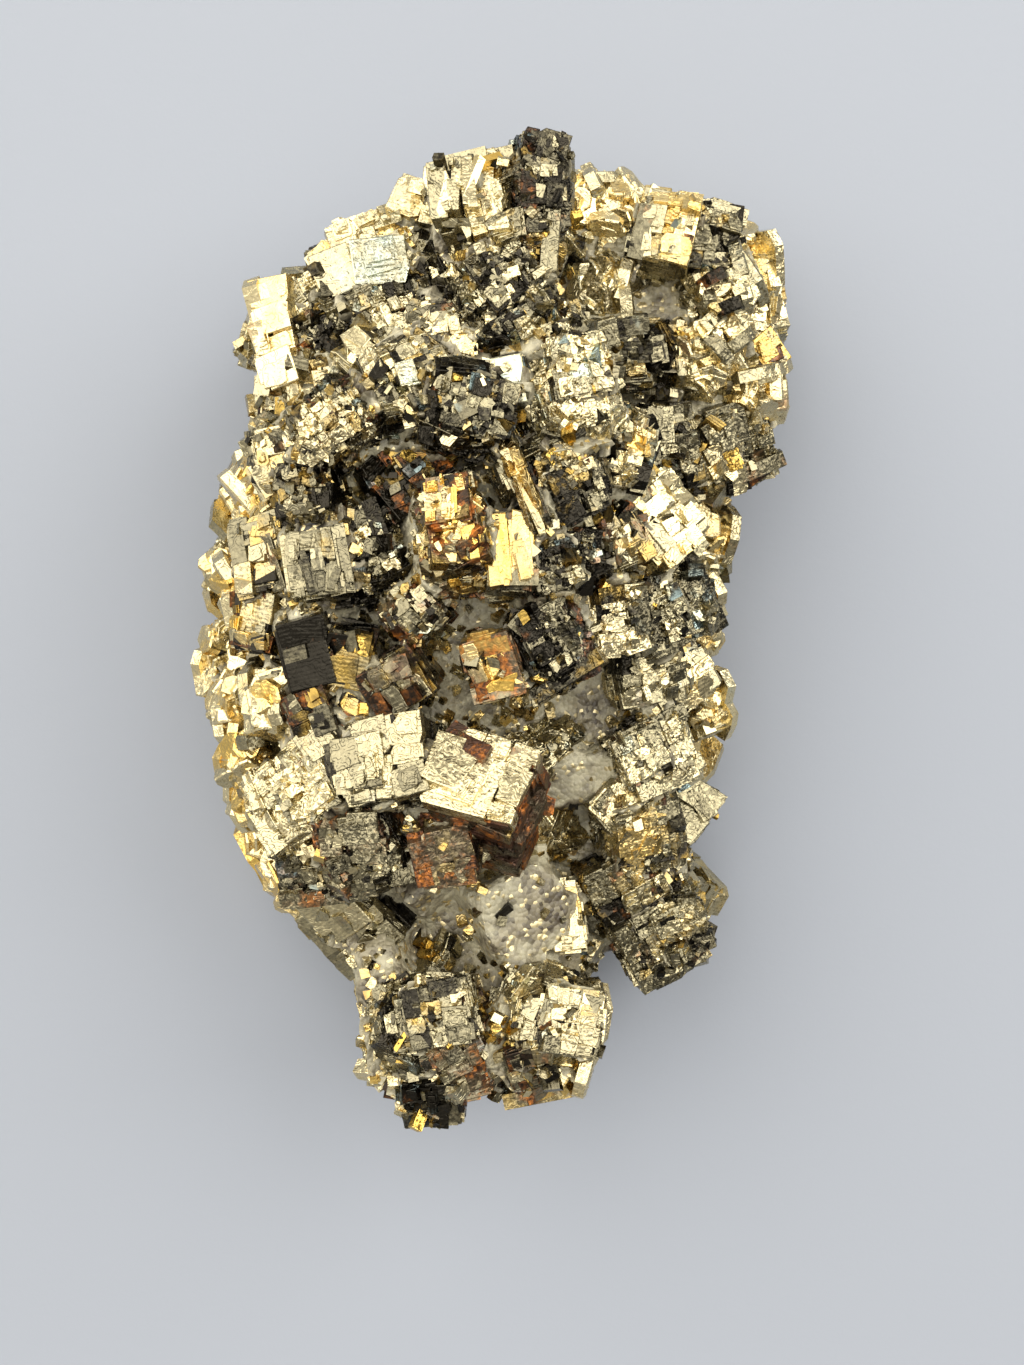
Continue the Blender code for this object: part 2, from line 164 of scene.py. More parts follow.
HEART = (
    (-6.5, -3.7, 24.7, 1.9, 1.8, 2.7, 32, 18, 240),
    (0.1, -2.6, 24.4, 1.7, 2.1, 2.8, 15, 12, 250),
    (4.1, -1.4, 23.5, 2.7, 2.8, 3.7, 30, 10, 300),
    (8.1, 0.7, 20.9, 2.0, 2.5, 3.2, 8, 20, 340),
    (-9.3, -6.2, 23.8, 1.5, 1.3, 2.2, 60, 10, 200),
    (-0.2, -12.6, 24.2, 3.2, 3.0, 4.8, -20, 28, 102),
    (-3.3, -15.7, 24.1, 2.0, 2.0, 2.9, 12, 12, 260),
    (-6.8, -10.1, 23.8, 3.0, 2.9, 3.9, 10, 18, 140),
    (-9.0, -15.5, 22.2, 3.4, 3.0, 4.2, 18, 14, 260),
    (-13.3, -12.7, 21.8, 3.2, 3.2, 4.2, 30, 18, 165),
    (-12.3, -16.8, 20.7, 2.7, 2.3, 3.5, 5, 20, 250),
    (-12.0, -9.4, 23.7, 2.0, 2.0, 2.9, 42, 10, 180),
)
EAST_FLANK = (
    (11.1, 7.5, 18.2, 2.9, 2.7, 3.8, 38, 20, 20),
    (11.9, 1.8, 16.0, 3.3, 3.2, 4.3, 25, 22, 0),
    (15.0, 6.9, 12.9, 2.1, 2.4, 3.2, 5, 35, 0),
    (15.0, 2.2, 12.6, 1.8, 1.8, 2.7, 20, 30, 350),
    (10.9, -3.1, 16.1, 2.6, 2.3, 3.4, 10, 20, 340),
    (15.4, -6.0, 11.3, 1.5, 2.3, 2.8, 10, 40, 0),
    (13.5, -3.9, 13.7, 2.3, 2.2, 3.2, 35, 22, 10),
    (11.4, -9.6, 15.2, 2.9, 2.8, 3.8, 22, 18, 10),
    (9.9, -13.1, 15.4, 2.5, 2.4, 3.4, 40, 12, 330),
    (10.9, -15.3, 14.4, 2.6, 2.7, 3.6, 8, 20, 340),
    (9.5, -18.7, 13.7, 2.8, 2.3, 3.5, 30, 16, 300),
    (12.4, -23.4, 12.3, 3.1, 3.0, 4.1, 24, 14, 310),
)
FOOT = (
    (-10.0, -21.4, 13.6, 3.1, 3.1, 4.2, 40, 24, 235),
    (-5.2, -29.4, 18.8, 3.7, 3.5, 4.4, 12, 10, 130),
    (-4.8, -31.7, 17.8, 3.3, 2.9, 4.4, 4, 22, 262),
    (-2.3, -30.8, 17.8, 2.6, 3.5, 4.2, 24, 20, 330),
    (-6.9, -30.8, 17.8, 2.1, 3.0, 4.2, -6, 18, 185),
    (3.6, -29.0, 18.4, 3.3, 3.7, 4.2, -10, 8, 60),
    (3.2, -31.8, 17.4, 2.9, 2.6, 4.0, 14, 22, 265),
    (4.9, -30.2, 17.4, 2.2, 3.4, 4.2, -10, 20, 0),
    (-0.6, -31.8, 15.0, 2.3, 2.0, 3.8, 20, 12, 270),
    (-8.2, -26.0, 15.8, 1.8, 2.2, 3.2, 10, 14, 180),
    (4.6, -22.4, 14.2, 2.0, 2.5, 3.2, 5, 10, 90),
)
NORTH_EAST_LOBE = (
    (6.5, 32.1, 14.3, 2.4, 2.4, 3.3, 20, 12, 100),
    (9.5, 31.2, 14.4, 2.2, 2.7, 3.4, 8, 14, 90),
    (9.7, 27.7, 13.9, 2.6, 2.2, 3.3, 30, 12, 120),
    (12.9, 29.6, 15.1, 2.2, 2.9, 3.5, -14, 10, 90),
    (15.9, 28.9, 14.3, 2.1, 2.9, 3.5, -10, 14, 40),
    (18.3, 28.0, 13.0, 2.2, 2.5, 3.3, 16, 24, 30),
    (18.8, 25.9, 13.1, 2.1, 2.4, 3.2, 0, 22, 0),
    (16.9, 26.0, 14.4, 2.8, 2.5, 3.6, 24, 10, 60),
    (18.8, 21.9, 13.0, 2.1, 2.3, 3.1, 18, 20, 0),
    (9.7, 21.1, 14.6, 3.9, 2.5, 4.2, 8, 16, 300),
    (15.5, 20.6, 14.3, 2.9, 2.6, 3.7, 32, 12, 20),
    (19.5, 18.3, 12.6, 2.4, 2.3, 3.3, 10, 22, 350),
    (16.7, 14.9, 10.9, 3.8, 3.4, 4.7, 20, 24, 320),
    (12.3, 14.4, 14.0, 2.3, 2.6, 3.4, 10, 14, 340),
    (7.7, 25.2, 15.7, 2.2, 2.7, 3.4, 5, 20, 330),
)
GROUPS = {
    "crown": CROWN,
    "north_west": NORTH_WEST,
    "middle_ridge": MIDDLE_RIDGE,
    "west_flank": WEST_FLANK,
    "heart": HEART,
    "east_flank": EAST_FLANK,
    "foot": FOOT,
    "north_east_lobe": NORTH_EAST_LOBE,
}
# Which groups of crystals make one piece
PIECES = {
    "crown_crystals": ("crown", "north_west"),
    "ridge_crystals": ("middle_ridge",),
    "west_crystals": ("west_flank",),
    "heart_crystals": ("heart",),
    "east_crystals": ("east_flank", "foot"),
    "lobe_crystals": ("north_east_lobe",),
    "flank_crystals": ("fill",),
}

# The rule that spreads smaller crystals over the body, the same as the solid's
FILL_SPACING = 7.1
FILL_HALF = 2.3
FILL_GROWTH = 1.2
FILL_SUNK = 0.35
FILL_CLEARANCE = 1.2
FILL_LOWEST = 1.5
FILL_HIGHEST = 17.0
INSIDE_ANOTHER_LUMP = 0.95
STEP_RISE = 0.5
STEP_SHARE = 0.62
STEP_SHIFT = 0.25
LEAST_STEPPED_HALF = 2.4
GOLDEN_ANGLE = math.pi * (3 - math.sqrt(5))
PLASTIC_NUMBER = 1.3247179572447460

# How each crystal looks in the photograph, in the order of the tables: tone of the top and of the sides from
# -1, almost black, to 0.6, bright, where the darker tones are partly dull faces and partly painted shade and
# painted dark reflection, and the sides are mostly set darker than the top as painted shade; tint, below 0
# golden and above 0 blue-green, partly oxide film and partly painted reflection; rust of the top and of the
# sides; width of the small blocks in mm; and grit, how broken up its faces are
FINISHES = {
    "crown": (
        (0.35, -0.25, -0.1, 0.0, 0.0, 0.8, 0.5),
        (-0.5, -0.5, -0.1, 0.15, 0.1, 0.7, 0.9),
        (0.4, 0.1, -0.2, 0.0, 0.0, 0.9, 0.4),
        (0.35, 0.2, -0.4, 0.0, 0.0, 0.7, 0.5),
        (0.35, 0.2, -0.5, 0.0, 0.0, 0.8, 0.4),
        (-0.1, -0.4, 0.0, 0.0, 0.0, 0.7, 0.8),
        (-0.05, 0.0, 0.6, 0.0, 0.0, 1.0, 0.45),
    ),
    "north_west": (
        (0.5, 0.3, -0.45, -0.2, 0.0, 1.2, 0.4),
        (0.0, -0.2, 0.1, 0.0, 0.0, 0.7, 0.8),
        (-0.55, -0.5, 0.0, 0.0, 0.0, 0.6, 1.0),
        (-0.25, -0.5, 0.0, 0.0, 0.0, 0.6, 1.0),
        (-0.6, -0.7, 0.0, 0.0, 0.0, 0.5, 1.0),
        (0.05, -0.4, -0.3, 0.0, 0.0, 0.8, 0.6),
        (0.2, -0.1, 0.25, 0.0, 0.0, 1.0, 0.2),
        (0.25, 0.1, -0.35, 0.0, 0.0, 0.8, 0.5),
        (0.1, -0.2, -0.3, 0.0, 0.0, 0.7, 0.6),
        (0.2, -0.2, 0.0, 0.0, 0.0, 0.6, 0.8),
        (-0.35, -0.5, 0.0, 0.0, 0.0, 0.6, 1.0),
        (-0.15, -0.4, -0.3, 0.1, 0.0, 0.6, 1.0),
        (0.25, -0.2, 0.1, 0.0, 0.0, 0.6, 0.7),
    ),
    "middle_ridge": (
        (0.3, -0.5, 0.7, 0.0, 0.0, 1.6, 0.1),
        (0.05, -0.5, 0.1, 0.0, 0.0, 0.7, 0.6),
        (-0.4, -0.8, -0.1, 0.0, 0.0, 0.7, 0.7),
        (0.05, -0.5, -0.2, 0.0, 0.0, 0.5, 1.0),
        (-0.3, -0.8, -0.2, 0.0, 0.0, 0.6, 0.8),
        (0.25, -0.1, 0.1, 0.0, 0.0, 0.6, 0.9),
        (0.25, -0.1, -0.3, 0.1, 0.0, 0.7, 0.6),
        (-0.4, -0.7, -0.4, 0.1, 0.1, 0.6, 0.8),
        (-0.15, -0.45, -0.5, 0.0, 0.0, 1.0, 0.5),
        (0.4, -0.5, -0.8, 0.0, 0.45, 0.7, 0.4),
        (-0.1, -0.4, -0.7, 0.0, 0.2, 0.8, 0.2),
        (-0.15, -0.6, 0.2, 0.0, 0.0, 0.6, 1.0),
        (-0.8, -0.9, -0.2, 0.25, 0.3, 1.0, 0.4),
        (-0.2, -0.5, 0.0, 0.35, 0.4, 0.7, 0.5),
        (-0.5, -0.7, 0.1, 0.0, 0.1, 0.5, 1.0),
        (-0.3, -0.5, -0.2, 0.35, 0.2, 0.8, 0.5),
    ),
    "west_flank": (
        (-0.45, -0.35, -0.2, 0.0, 0.0, 1.0, 0.4),
        (-0.2, -0.3, -0.3, 0.0, 0.0, 0.9, 0.4),
        (-0.3, -0.7, -0.5, 0.1, 0.2, 0.8, 0.3),
        (-0.9, -0.9, 0.0, 0.0, 0.1, 1.6, 0.1),
        (-0.7, -0.8, -0.4, 0.1, 0.2, 0.9, 0.2),
        (0.35, 0.3, -0.6, 0.0, 0.0, 1.0, 0.2),
        (0.35, 0.3, -0.6, 0.0, 0.0, 1.0, 0.2),
        (0.2, 0.1, -0.5, 0.0, 0.0, 1.0, 0.2),
        (0.45, 0.35, -0.5, 0.0, 0.0, 1.0, 0.15),
        (0.45, 0.35, -0.4, 0.0, 0.0, 1.0, 0.15),
        (0.3, 0.1, -0.5, 0.0, 0.0, 0.9, 0.2),
        (-0.7, -0.8, -0.2, 0.35, 0.5, 1.0, 0.3),
        (0.35, 0.3, -0.6, 0.1, 0.0, 1.0, 0.2),
    ),
    "heart": (
        (-0.45, -0.7, -0.2, 0.45, 0.4, 0.9, 0.3),
        (0.1, -0.2, -0.7, 0.5, 0.6, 0.8, 0.3),
        (-0.65, -0.7, 0.0, 0.0, 0.1, 0.5, 1.0),
        (0.0, -0.2, -0.1, 0.0, 0.0, 0.6, 0.9),
        (0.1, -0.6, -0.4, 0.1, 0.2, 0.8, 0.4),
        (0.2, -0.6, 0.0, -0.35, 0.65, 0.9, 0.55),
        (-0.3, -0.5, -0.3, 0.6, 0.6, 0.9, 0.9),
        (-0.1, -0.5, -0.05, 0.0, 0.1, 0.8, 0.7),
        (-0.45, -0.6, 0.1, 0.25, 0.3, 0.6, 1.0),
        (0.3, 0.1, -0.1, 0.05, 0.1, 0.6, 0.9),
        (-0.5, -0.6, -0.1, 0.25, 0.3, 0.6, 0.9),
        (0.3, 0.0, -0.3, 0.0, 0.0, 0.7, 0.6),
    ),
    "east_flank": (
        (0.3, 0.0, -0.4, 0.0, 0.0, 0.8, 0.4),
        (-0.35, -0.5, 0.1, 0.0, 0.0, 0.7, 0.9),
        (0.4, 0.2, -0.6, 0.0, 0.0, 1.0, 0.2),
        (0.3, 0.1, -0.6, 0.0, 0.0, 1.0, 0.2),
        (-0.1, -0.3, -0.1, 0.0, 0.0, 0.8, 0.6),
        (0.45, 0.2, -0.5, 0.0, 0.0, 1.0, 0.2),
        (0.1, -0.1, -0.3, 0.0, 0.0, 0.9, 0.4),
        (0.05, -0.2, 0.05, 0.0, 0.0, 0.6, 0.9),
        (0.0, -0.3, -0.2, 0.0, 0.0, 0.7, 0.8),
        (-0.2, -0.3, -0.4, 0.0, 0.1, 0.7, 0.7),
        (-0.4, -0.5, -0.3, 0.05, 0.1, 0.6, 0.9),
        (-0.35, -0.3, -0.1, 0.0, 0.1, 0.6, 1.0),
    ),
    "foot": (
        (-0.3, -0.4, -0.1, 0.0, 0.0, 2.0, 0.4),
        (-0.3, -0.4, 0.0, 0.0, 0.0, 0.6, 0.7),
        (-0.6, -0.6, 0.0, 0.1, 0.2, 0.8, 0.4),
        (-0.3, -0.4, 0.0, 0.5, 0.5, 0.8, 0.4),
        (0.4, 0.1, -0.1, 0.0, 0.0, 0.6, 0.4),
        (0.1, -0.15, 0.0, 0.0, 0.0, 0.6, 0.5),
        (-0.4, -0.5, -0.1, 0.35, 0.3, 0.8, 0.4),
        (0.4, 0.3, -0.5, 0.0, 0.0, 0.7, 0.3),
        (-0.2, -0.3, 0.0, 0.6, 0.6, 0.8, 0.4),
        (0.2, 0.0, -0.2, 0.0, 0.0, 0.8, 0.3),
        (0.1, 0.2, -0.5, 0.0, 0.0, 0.7, 0.3),
    ),
    "north_east_lobe": (
        (0.4, 0.2, -0.4, 0.0, 0.0, 0.9, 0.3),
        (0.4, 0.2, -0.3, 0.0, 0.0, 0.9, 0.3),
        (0.3, 0.0, -0.2, 0.0, 0.0, 0.8, 0.4),
        (0.35, -0.1, -0.5, 0.0, 0.0, 1.0, 0.3),
        (-0.5, -0.5, -0.1, 0.0, 0.0, 0.8, 0.6),
        (0.35, 0.2, -0.3, 0.0, 0.0, 0.8, 0.4),
        (0.1, -0.1, -0.5, 0.15, 0.2, 0.7, 0.6),
        (-0.05, -0.3, -0.3, 0.0, 0.1, 0.8, 0.5),
        (0.0, -0.2, -0.4, 0.15, 0.2, 0.7, 0.6),
        (-0.5, -0.5, -0.1, 0.0, 0.0, 0.9, 0.4),
        (0.2, 0.0, -0.4, 0.0, 0.0, 0.8, 0.5),
        (0.4, 0.2, -0.5, 0.0, 0.0, 1.0, 0.3),
        (-0.4, -0.5, -0.1, 0.1, 0.15, 0.8, 0.7),
        (-0.3, -0.4, 0.0, 0.0, 0.0, 0.7, 0.8),
        (0.3, 0.15, 0.1, -0.1, 0.0, 0.7, 0.3),
    ),
}
FINISH_COLUMNS = ("tone", "side_tone", "tint", "rust", "side_rust", "cell", "grit")

# What differs from the common look in single crystals: power is how boxy the shape is (2 is a ball), plate the
# width of its growth plates in mm, stretch how much longer its plates are along its own x than along its y,
# terraced and cover the shares of plates with steps and with small blocks, contrast how much its small blocks
# differ, and chips how many small crystals grow over it. The flags are clean, for whole faces that nothing grows
# over, scales, for rounded scales in place of plates, and stone, for a crystal left out where the matrix is bare
SCALY = dict(scales=True, power=3.0, plate=2.1, chips=0.1)
BALL = dict(power=2.8, plate=1.5, chips=0.8, contrast=0.55)
SPECIAL = {
    ("crown", 0): dict(stretch=0.3, plate=2.4, cover=0.3),
    ("crown", 1): dict(power=3.4, chips=0.1),
    ("crown", 6): dict(plate=3.0, cover=0.1, terraced=0.7, clean=True),
    ("north_west", 0): dict(power=10.0, plate=3.2, cover=0.1, clean=True),
    ("middle_ridge", 0): dict(plate=3.0, cover=0.1, terraced=0.2, clean=True),
    ("middle_ridge", 3): dict(plate=1.3),
    ("middle_ridge", 5): dict(power=3.4),
    ("middle_ridge", 6): dict(power=3.4),
    ("middle_ridge", 8): dict(plate=1.8, stretch=0.25, cover=0.2, terraced=0.7, clean=True),
    ("middle_ridge", 9): dict(stretch=0.5),
    ("middle_ridge", 10): dict(plate=2.6, stretch=0.3, cover=0.3),
    ("west_flank", 0): dict(plate=2.0, stretch=0.35, cover=0.3, terraced=0.7, clean=True),
    ("west_flank", 3): dict(plate=2.5, cover=0.2, terraced=0.6, clean=True),
    ("heart", 2): dict(power=3.2),
    ("heart", 5): dict(power=14.0, plate=3.6, cover=0.1, terraced=0.95, clean=True),
    ("heart", 6): dict(plate=3.0, cover=0.2, clean=True),
    ("heart", 7): dict(plate=2.4, cover=0.2, terraced=0.9, clean=True),
    ("heart", 8): dict(power=4.0, cover=0.4, clean=True),
    ("heart", 9): dict(power=4.0, chips=0.2),
    ("foot", 0): dict(plate=3.5, cover=0.2, terraced=0.2, clean=True),
    ("foot", 3): dict(power=3.2, plate=1.6),
    ("foot", 7): {**BALL, "scales": True},
    ("foot", 9): dict(stone=True),
    ("north_east_lobe", 9): dict(power=3.4),
}
# Crystals that are covered with smooth rounded scales, and rounded ones that are broken up all over
SCALY_CRYSTALS = {
    "west_flank": (5, 6, 7, 8, 9, 10, 12),
    "east_flank": (2, 3, 5),
    "north_east_lobe": (0, 1, 2, 5, 7, 10, 11, 14),
}
BALL_CRYSTALS = {"foot": (1, 2, 4, 5, 6, 8)}
COMMON_LOOK = dict(
    tone=0.0,
    tint=0.0,
    rust=0.0,
    cell=0.8,
    grit=0.5,
    plate=2.4,
    power=6.0,
    stretch=1.0,
    chips=0.4,
    contrast=0.3,
    clean=False,
    scales=False,
    stone=False,
)
BROKEN_GROUPS = ("middle_ridge", "north_west")
# The forms of small crystals that grow over the larger ones: blocks, plates and rods
CHIP_FORMS = ((1.0, 1.0, 1.0), (1.3, 1.1, 0.4), (0.6, 0.6, 1.9), (1.0, 0.7, 1.2))
# Where the photograph shows bare matrix instead of the smaller crystals: x, y and how far it reaches
BARE_MATRIX = (
    (-3.5, -20.5, 5.0),
    (3.5, -21.5, 4.5),
    (6.0, -12.5, 4.5),
    (10.0, 26.0, 4.0),
    (-7.0, 20.3, 2.5),
    (-4.5, 26.5, 2.5),
    (7.0, -4.0, 3.0),
)
# Where it shows smooth golden scales instead
SCALY_PLACES = ((-20.0, 2.0, 9.0), (-20.0, -12.0, 9.0), (17.0, 4.0, 5.0), (17.0, -8.0, 5.0))

# Places of a Mix node's colour sockets
COLOUR_A = 6
COLOUR_B = 7
COLOUR_OUT = 2

# How many shapes of growth plate, small block and scale there are
PLATE_SHAPES = 12
CELL_SHAPES = 16
SCALE_SHAPES = 10

# The camera stands over this point of the floor
CAMERA_X = 1.358 * MM
CAMERA_Y = -3.553 * MM


# The finishes' block widths hold where the block width is set to this, in mm
USUAL_CELL = 0.85
# A face whose upward share is below this looks down
LOOKS_DOWN = -0.3
# Where this little is left to a rounded crystal's edge, its face ends
FACE_EDGE = 0.03
# How deep under its top a block is tested for being hidden, and how deep in another crystal hides it, in mm
PROBE_DEPTH = 0.12
BURIED_DEPTH = 0.35
# Points this close to a crystal's box, in mm, are drawn in with it; small crystals and the matrix are drawn in
# to these shares of its rounded shape
BOX_ALLOWANCE = 0.15
CHIP_SHARE = 0.98
MATRIX_SHARE = 0.86
# Small crystals start this high, in mm, and this share of them grows on bare matrix and scales
LOWEST_CHIP = 2
CHIPS_ON_BARE = 0.15
# Lines that feel for a hollow: their lengths in mm and how far they spread from straight out
HOLLOW_LENGTHS = (1.8, 3.4)
HOLLOW_SPREAD = 1.2
CORNER_REACH = 1.75
# How far blocks, and then single points, may stand out of the solid's box, in metres
BLOCK_ALLOWANCE = 0.0004
POINT_ALLOWANCE = 0.0006


def scatter(index, channel):
    """A share from 0 to 1 that jumps about as index and channel go up, the same each run."""
    return (0.5 + index / PLASTIC_NUMBER + channel / PLASTIC_NUMBER**2 + index * channel * 0.1031) % 1.0


def axes(spin, lean, bearing):
    """The turn of a crystal that is spun about its own upright axis and then leans to a bearing, in degrees."""
    toward = Matrix.Rotation(math.radians(bearing), 3, "Z")
    leaning = Matrix.Rotation(math.radians(lean), 3, "Y")
    spun = Matrix.Rotation(math.radians(spin), 3, "Z")
    return toward @ leaning @ toward.inverted() @ spun


def inside_lump(point, lump):
    """How far out of a body lump a point is: under 1 inside it, 1 on its surface."""
    x, y, z, half_x, half_y, half_z = lump
    return ((point.x - x) / half_x) ** 2 + ((point.y - y) / half_y) ** 2 + ((point.z - z) / half_z) ** 2


def near_placed(point, placed):
    """Whether a placed crystal already covers this point."""
    for x, y, z, half_x, half_y, half_z, *_ in placed:
        reach = (half_x + half_y + half_z) / 3 + FILL_CLEARANCE
        if (point - Vector((x, y, z))).length < reach:
            return True
    return False


def fill_rows():
    """The smaller crystals spread evenly over each body lump, in the same form as the tables."""
    placed = [row for rows in GROUPS.values() for row in rows]
    found = []
    for number, lump in enumerate(BODY):
        x, y, z, half_x, half_y, half_z = lump
        mean = (half_x * half_y + half_y * half_z + half_z * half_x) / 3
        count = round(4 * math.pi * mean / FILL_SPACING**2)
        for i in range(count):
            up = 1 - 2 * (i + 0.5) / count
            ring = math.sqrt(1 - up * up)
            turn = i * GOLDEN_ANGLE
            way = Vector((ring * math.cos(turn), ring * math.sin(turn), up))
            point = Vector((x + half_x * way.x, y + half_y * way.y, z + half_z * way.z))
            normal = Vector((way.x / half_x, way.y / half_y, way.z / half_z)).normalized()
            others = [other for other in BODY if other is not lump]
            hidden = any(inside_lump(point, other) < INSIDE_ANOTHER_LUMP for other in others)
            if hidden or near_placed(point, placed) or not FILL_LOWEST < point.z < FILL_HIGHEST:
                continue
            key = 97 * number + i
            half = FILL_HALF + FILL_GROWTH * scatter(key, 1)
            middle = point - normal * half * FILL_SUNK
            lean = math.degrees(math.acos(normal.z)) + 24 * (scatter(key, 2) - 0.5)
            bearing = math.degrees(math.atan2(normal.y, normal.x)) + 24 * (scatter(key, 3) - 0.5)
            narrow = 0.75 + 0.25 * scatter(key, 4)
            found.append((*middle, half, half * narrow, half * 1.2, 90 * scatter(key, 5), lean, bearing))
    return found


class Crystal:
    """One blocky crystal: its place in millimetres, its turn and how its plates look."""

    def __init__(self, group, middle, half, turn, look):
        self.group = group
        self.middle = np.array(middle, float)
        self.half = np.array(half, float)
        self.turn = np.array(turn, float)
        self.look = {**COMMON_LOOK, **look}

    def roundness(self, points):
        """How far out of this crystal's rounded shape points are: under 1 inside it, 1 on its surface."""
        local = np.abs((points - self.middle) @ self.turn) / self.half
        return (np.minimum(local, 4) ** self.look["power"]).sum(axis=1) ** (1 / self.look["power"])

    def inside_box(self, points, margin):
        """Which points lie inside this crystal's box, made larger by a margin."""
        return (np.abs((points - self.middle) @ self.turn) < self.half + margin).all(axis=1)

    def inside(self, points, margin):
        """Which points lie more than a margin under this crystal's surface."""
        half = self.half - margin
        if half.min() < 0.3:
            return np.zeros(len(points), bool)
        local = np.abs((points - self.middle) @ self.turn) / half
        return (np.minimum(local, 4) ** self.look["power"]).sum(axis=1) < 1


def growth_step(crystal, key):
    """The narrower block that stands out of a large crystal's top and one of its sides, as on the solid."""
    half = crystal.half
    side = key % 2
    other = 1 - side
    size = np.array((half[0] * STEP_SHARE, half[1] * STEP_SHARE, half[2] + STEP_RISE))
    shift = np.zeros(3)
    shift[side] = (half[side] + STEP_RISE - size[side]) * (1 if scatter(key, 1) > 0.5 else -1)
    shift[other] = half[other] * STEP_SHIFT * (2 * scatter(key, 2) - 1)
    look = {**crystal.look, "power": 12.0}
    return Crystal(crystal.group, crystal.middle + crystal.turn @ shift, size, crystal.turn, look)


def near(point, places):
    """Whether a point lies within one of some upright cylinders, each an x, a y and a reach."""
    return any(math.dist(point[:2], (x, y)) < reach for x, y, reach in places)


def common_fill(key):
    """A look for one of the spread crystals, which the photograph doesn't single out."""
    return dict(
        tone=0.6 * (scatter(key, 7) - 0.5),
        tint=0.5 * scatter(key, 11) - 0.45,
        cell=0.6 + 0.4 * scatter(key, 9),
        grit=0.2 + 0.7 * scatter(key, 10),
    )


def all_crystals():
    """Every crystal of the solid, in the row frame."""
    found = []
    placed = 0
    groups = {**GROUPS, "fill": fill_rows()}
    for number, (group, rows) in enumerate(groups.items()):
        for index, row in enumerate(rows):
            key = 100 * number + index
            if group in FINISHES:
                look = dict(zip(FINISH_COLUMNS, FINISHES[group][index]))
            else:
                look = common_fill(key)
            broken = group in BROKEN_GROUPS
            look["power"] = 3.2 + 2.0 * scatter(key, 8) if broken else 4.0 + 4.0 * scatter(key, 8)
            look["plate"] = 1.4 if broken else 2.0
            look["contrast"] = 0.45 if broken else 0.3
            if broken:
                look["chips"] = 1.0
            if index in SCALY_CRYSTALS.get(group, ()):
                look.update(SCALY)
            if index in BALL_CRYSTALS.get(group, ()):
                look.update(BALL)
            look.update(SPECIAL.get((group, index), {}))
            if group == "fill":
                look["stone"] = near(row, BARE_MATRIX)
                if near(row, SCALY_PLACES):
                    look.update(SCALY, tone=0.3, side_tone=0.3, tint=-0.5, grit=0.2)
            crystal = Crystal(group, np.array(row[:3]) - MIDDLE, row[3:6], axes(*row[6:]), look)
            found.append(crystal)
            if group != "fill" and min(row[3:6]) > LEAST_STEPPED_HALF:
                found.append(growth_step(crystal, placed))
            placed += 1
    return found


def drawn_in(points, crystals, share):
    """Draws points in a crystal's box in to a share of its rounded shape, and tells which ones lie there."""
    moved = points.copy()
    covered = np.zeros(len(points), bool)
    deepest = np.full(len(points), np.inf)
    for crystal in crystals:
        if crystal.look["stone"]:
            continue
        rows = np.flatnonzero(crystal.inside_box(points, BOX_ALLOWANCE))
        out = crystal.roundness(points[rows])
        rows, out = rows[out < deepest[rows]], out[out < deepest[rows]]
        deepest[rows] = out
        covered[rows] = True
        moved[rows] = crystal.middle + (points[rows] - crystal.middle) * np.minimum(share / out, 1.0)[:, None]
    return moved, covered


def surface_points(mesh, count, rng):
    """Points spread at random over a mesh, in millimetres, with their face normals."""
    areas = np.zeros(len(mesh.polygons))
    mesh.polygons.foreach_get("area", areas)
    chosen = rng.choice(len(areas), size=count, p=areas / areas.sum())
    points = np.zeros((count, 3))
    normals = np.zeros((count, 3))
    for row, number in enumerate(chosen):
        face = mesh.polygons[number]
        first, second, third = (np.array(mesh.vertices[i].co) for i in face.vertices[:3])
        a, b = rng.random(2)
        if a + b > 1:
            a, b = 1 - a, 1 - b
        points[row] = (first + a * (second - first) + b * (third - first)) / MM
        normals[row] = face.normal
    return points, normals


def overgrowth(mesh, count, crystals, rng):
    """Single small crystals grown over the larger ones at odd angles, each as a block of the group it is in."""
    points, normals = surface_points(mesh, count, rng)
    points, _ = drawn_in(points, crystals, CHIP_SHARE)
    middles = np.array([crystal.middle for crystal in crystals])
    found = []
    for point, normal in zip(points, normals):
        nearest = crystals[int(np.argmin(((middles - point) ** 2).sum(axis=1)))]
        look = nearest.look
        bare = near(point, SCALY_PLACES) or near(point, BARE_MATRIX)
        likely = look["chips"] * (CHIPS_ON_BARE if bare else 1.0)
        if point[2] < LOWEST_CHIP or look["clean"] or rng.random() > likely:
            continue
        form = CHIP_FORMS[rng.integers(len(CHIP_FORMS))]
        half = rng.uniform(0.2, 0.45) * rng.uniform(0.8, 1.25, 3) * form * rng.choice((1.0, 1.0, 1.0, 1.6))
        turn = np.array(Quaternion(rng.normal(size=4)).normalized().to_matrix())
        middle = point - normal * half.min() * 0.3
        tone = 0.5 * look["tone"] + rng.choice((-0.6, -0.1, 0.3)) + rng.normal(0, 0.15)
        tone = max(tone, look["tone"] - 0.45)
        rust, tint = rng.normal(-0.1, 0.3), rng.normal(-0.15, 0.45)
        finish = np.array((tone, rust, tint, rng.choice((0.0, 0.1, 0.5))))
        shape = rng.integers(PLATE_SHAPES, PLATE_SHAPES + CELL_SHAPES)
        found.append((nearest.group, into_box((middle, middle, turn, half, middle, finish, shape))))
    return found


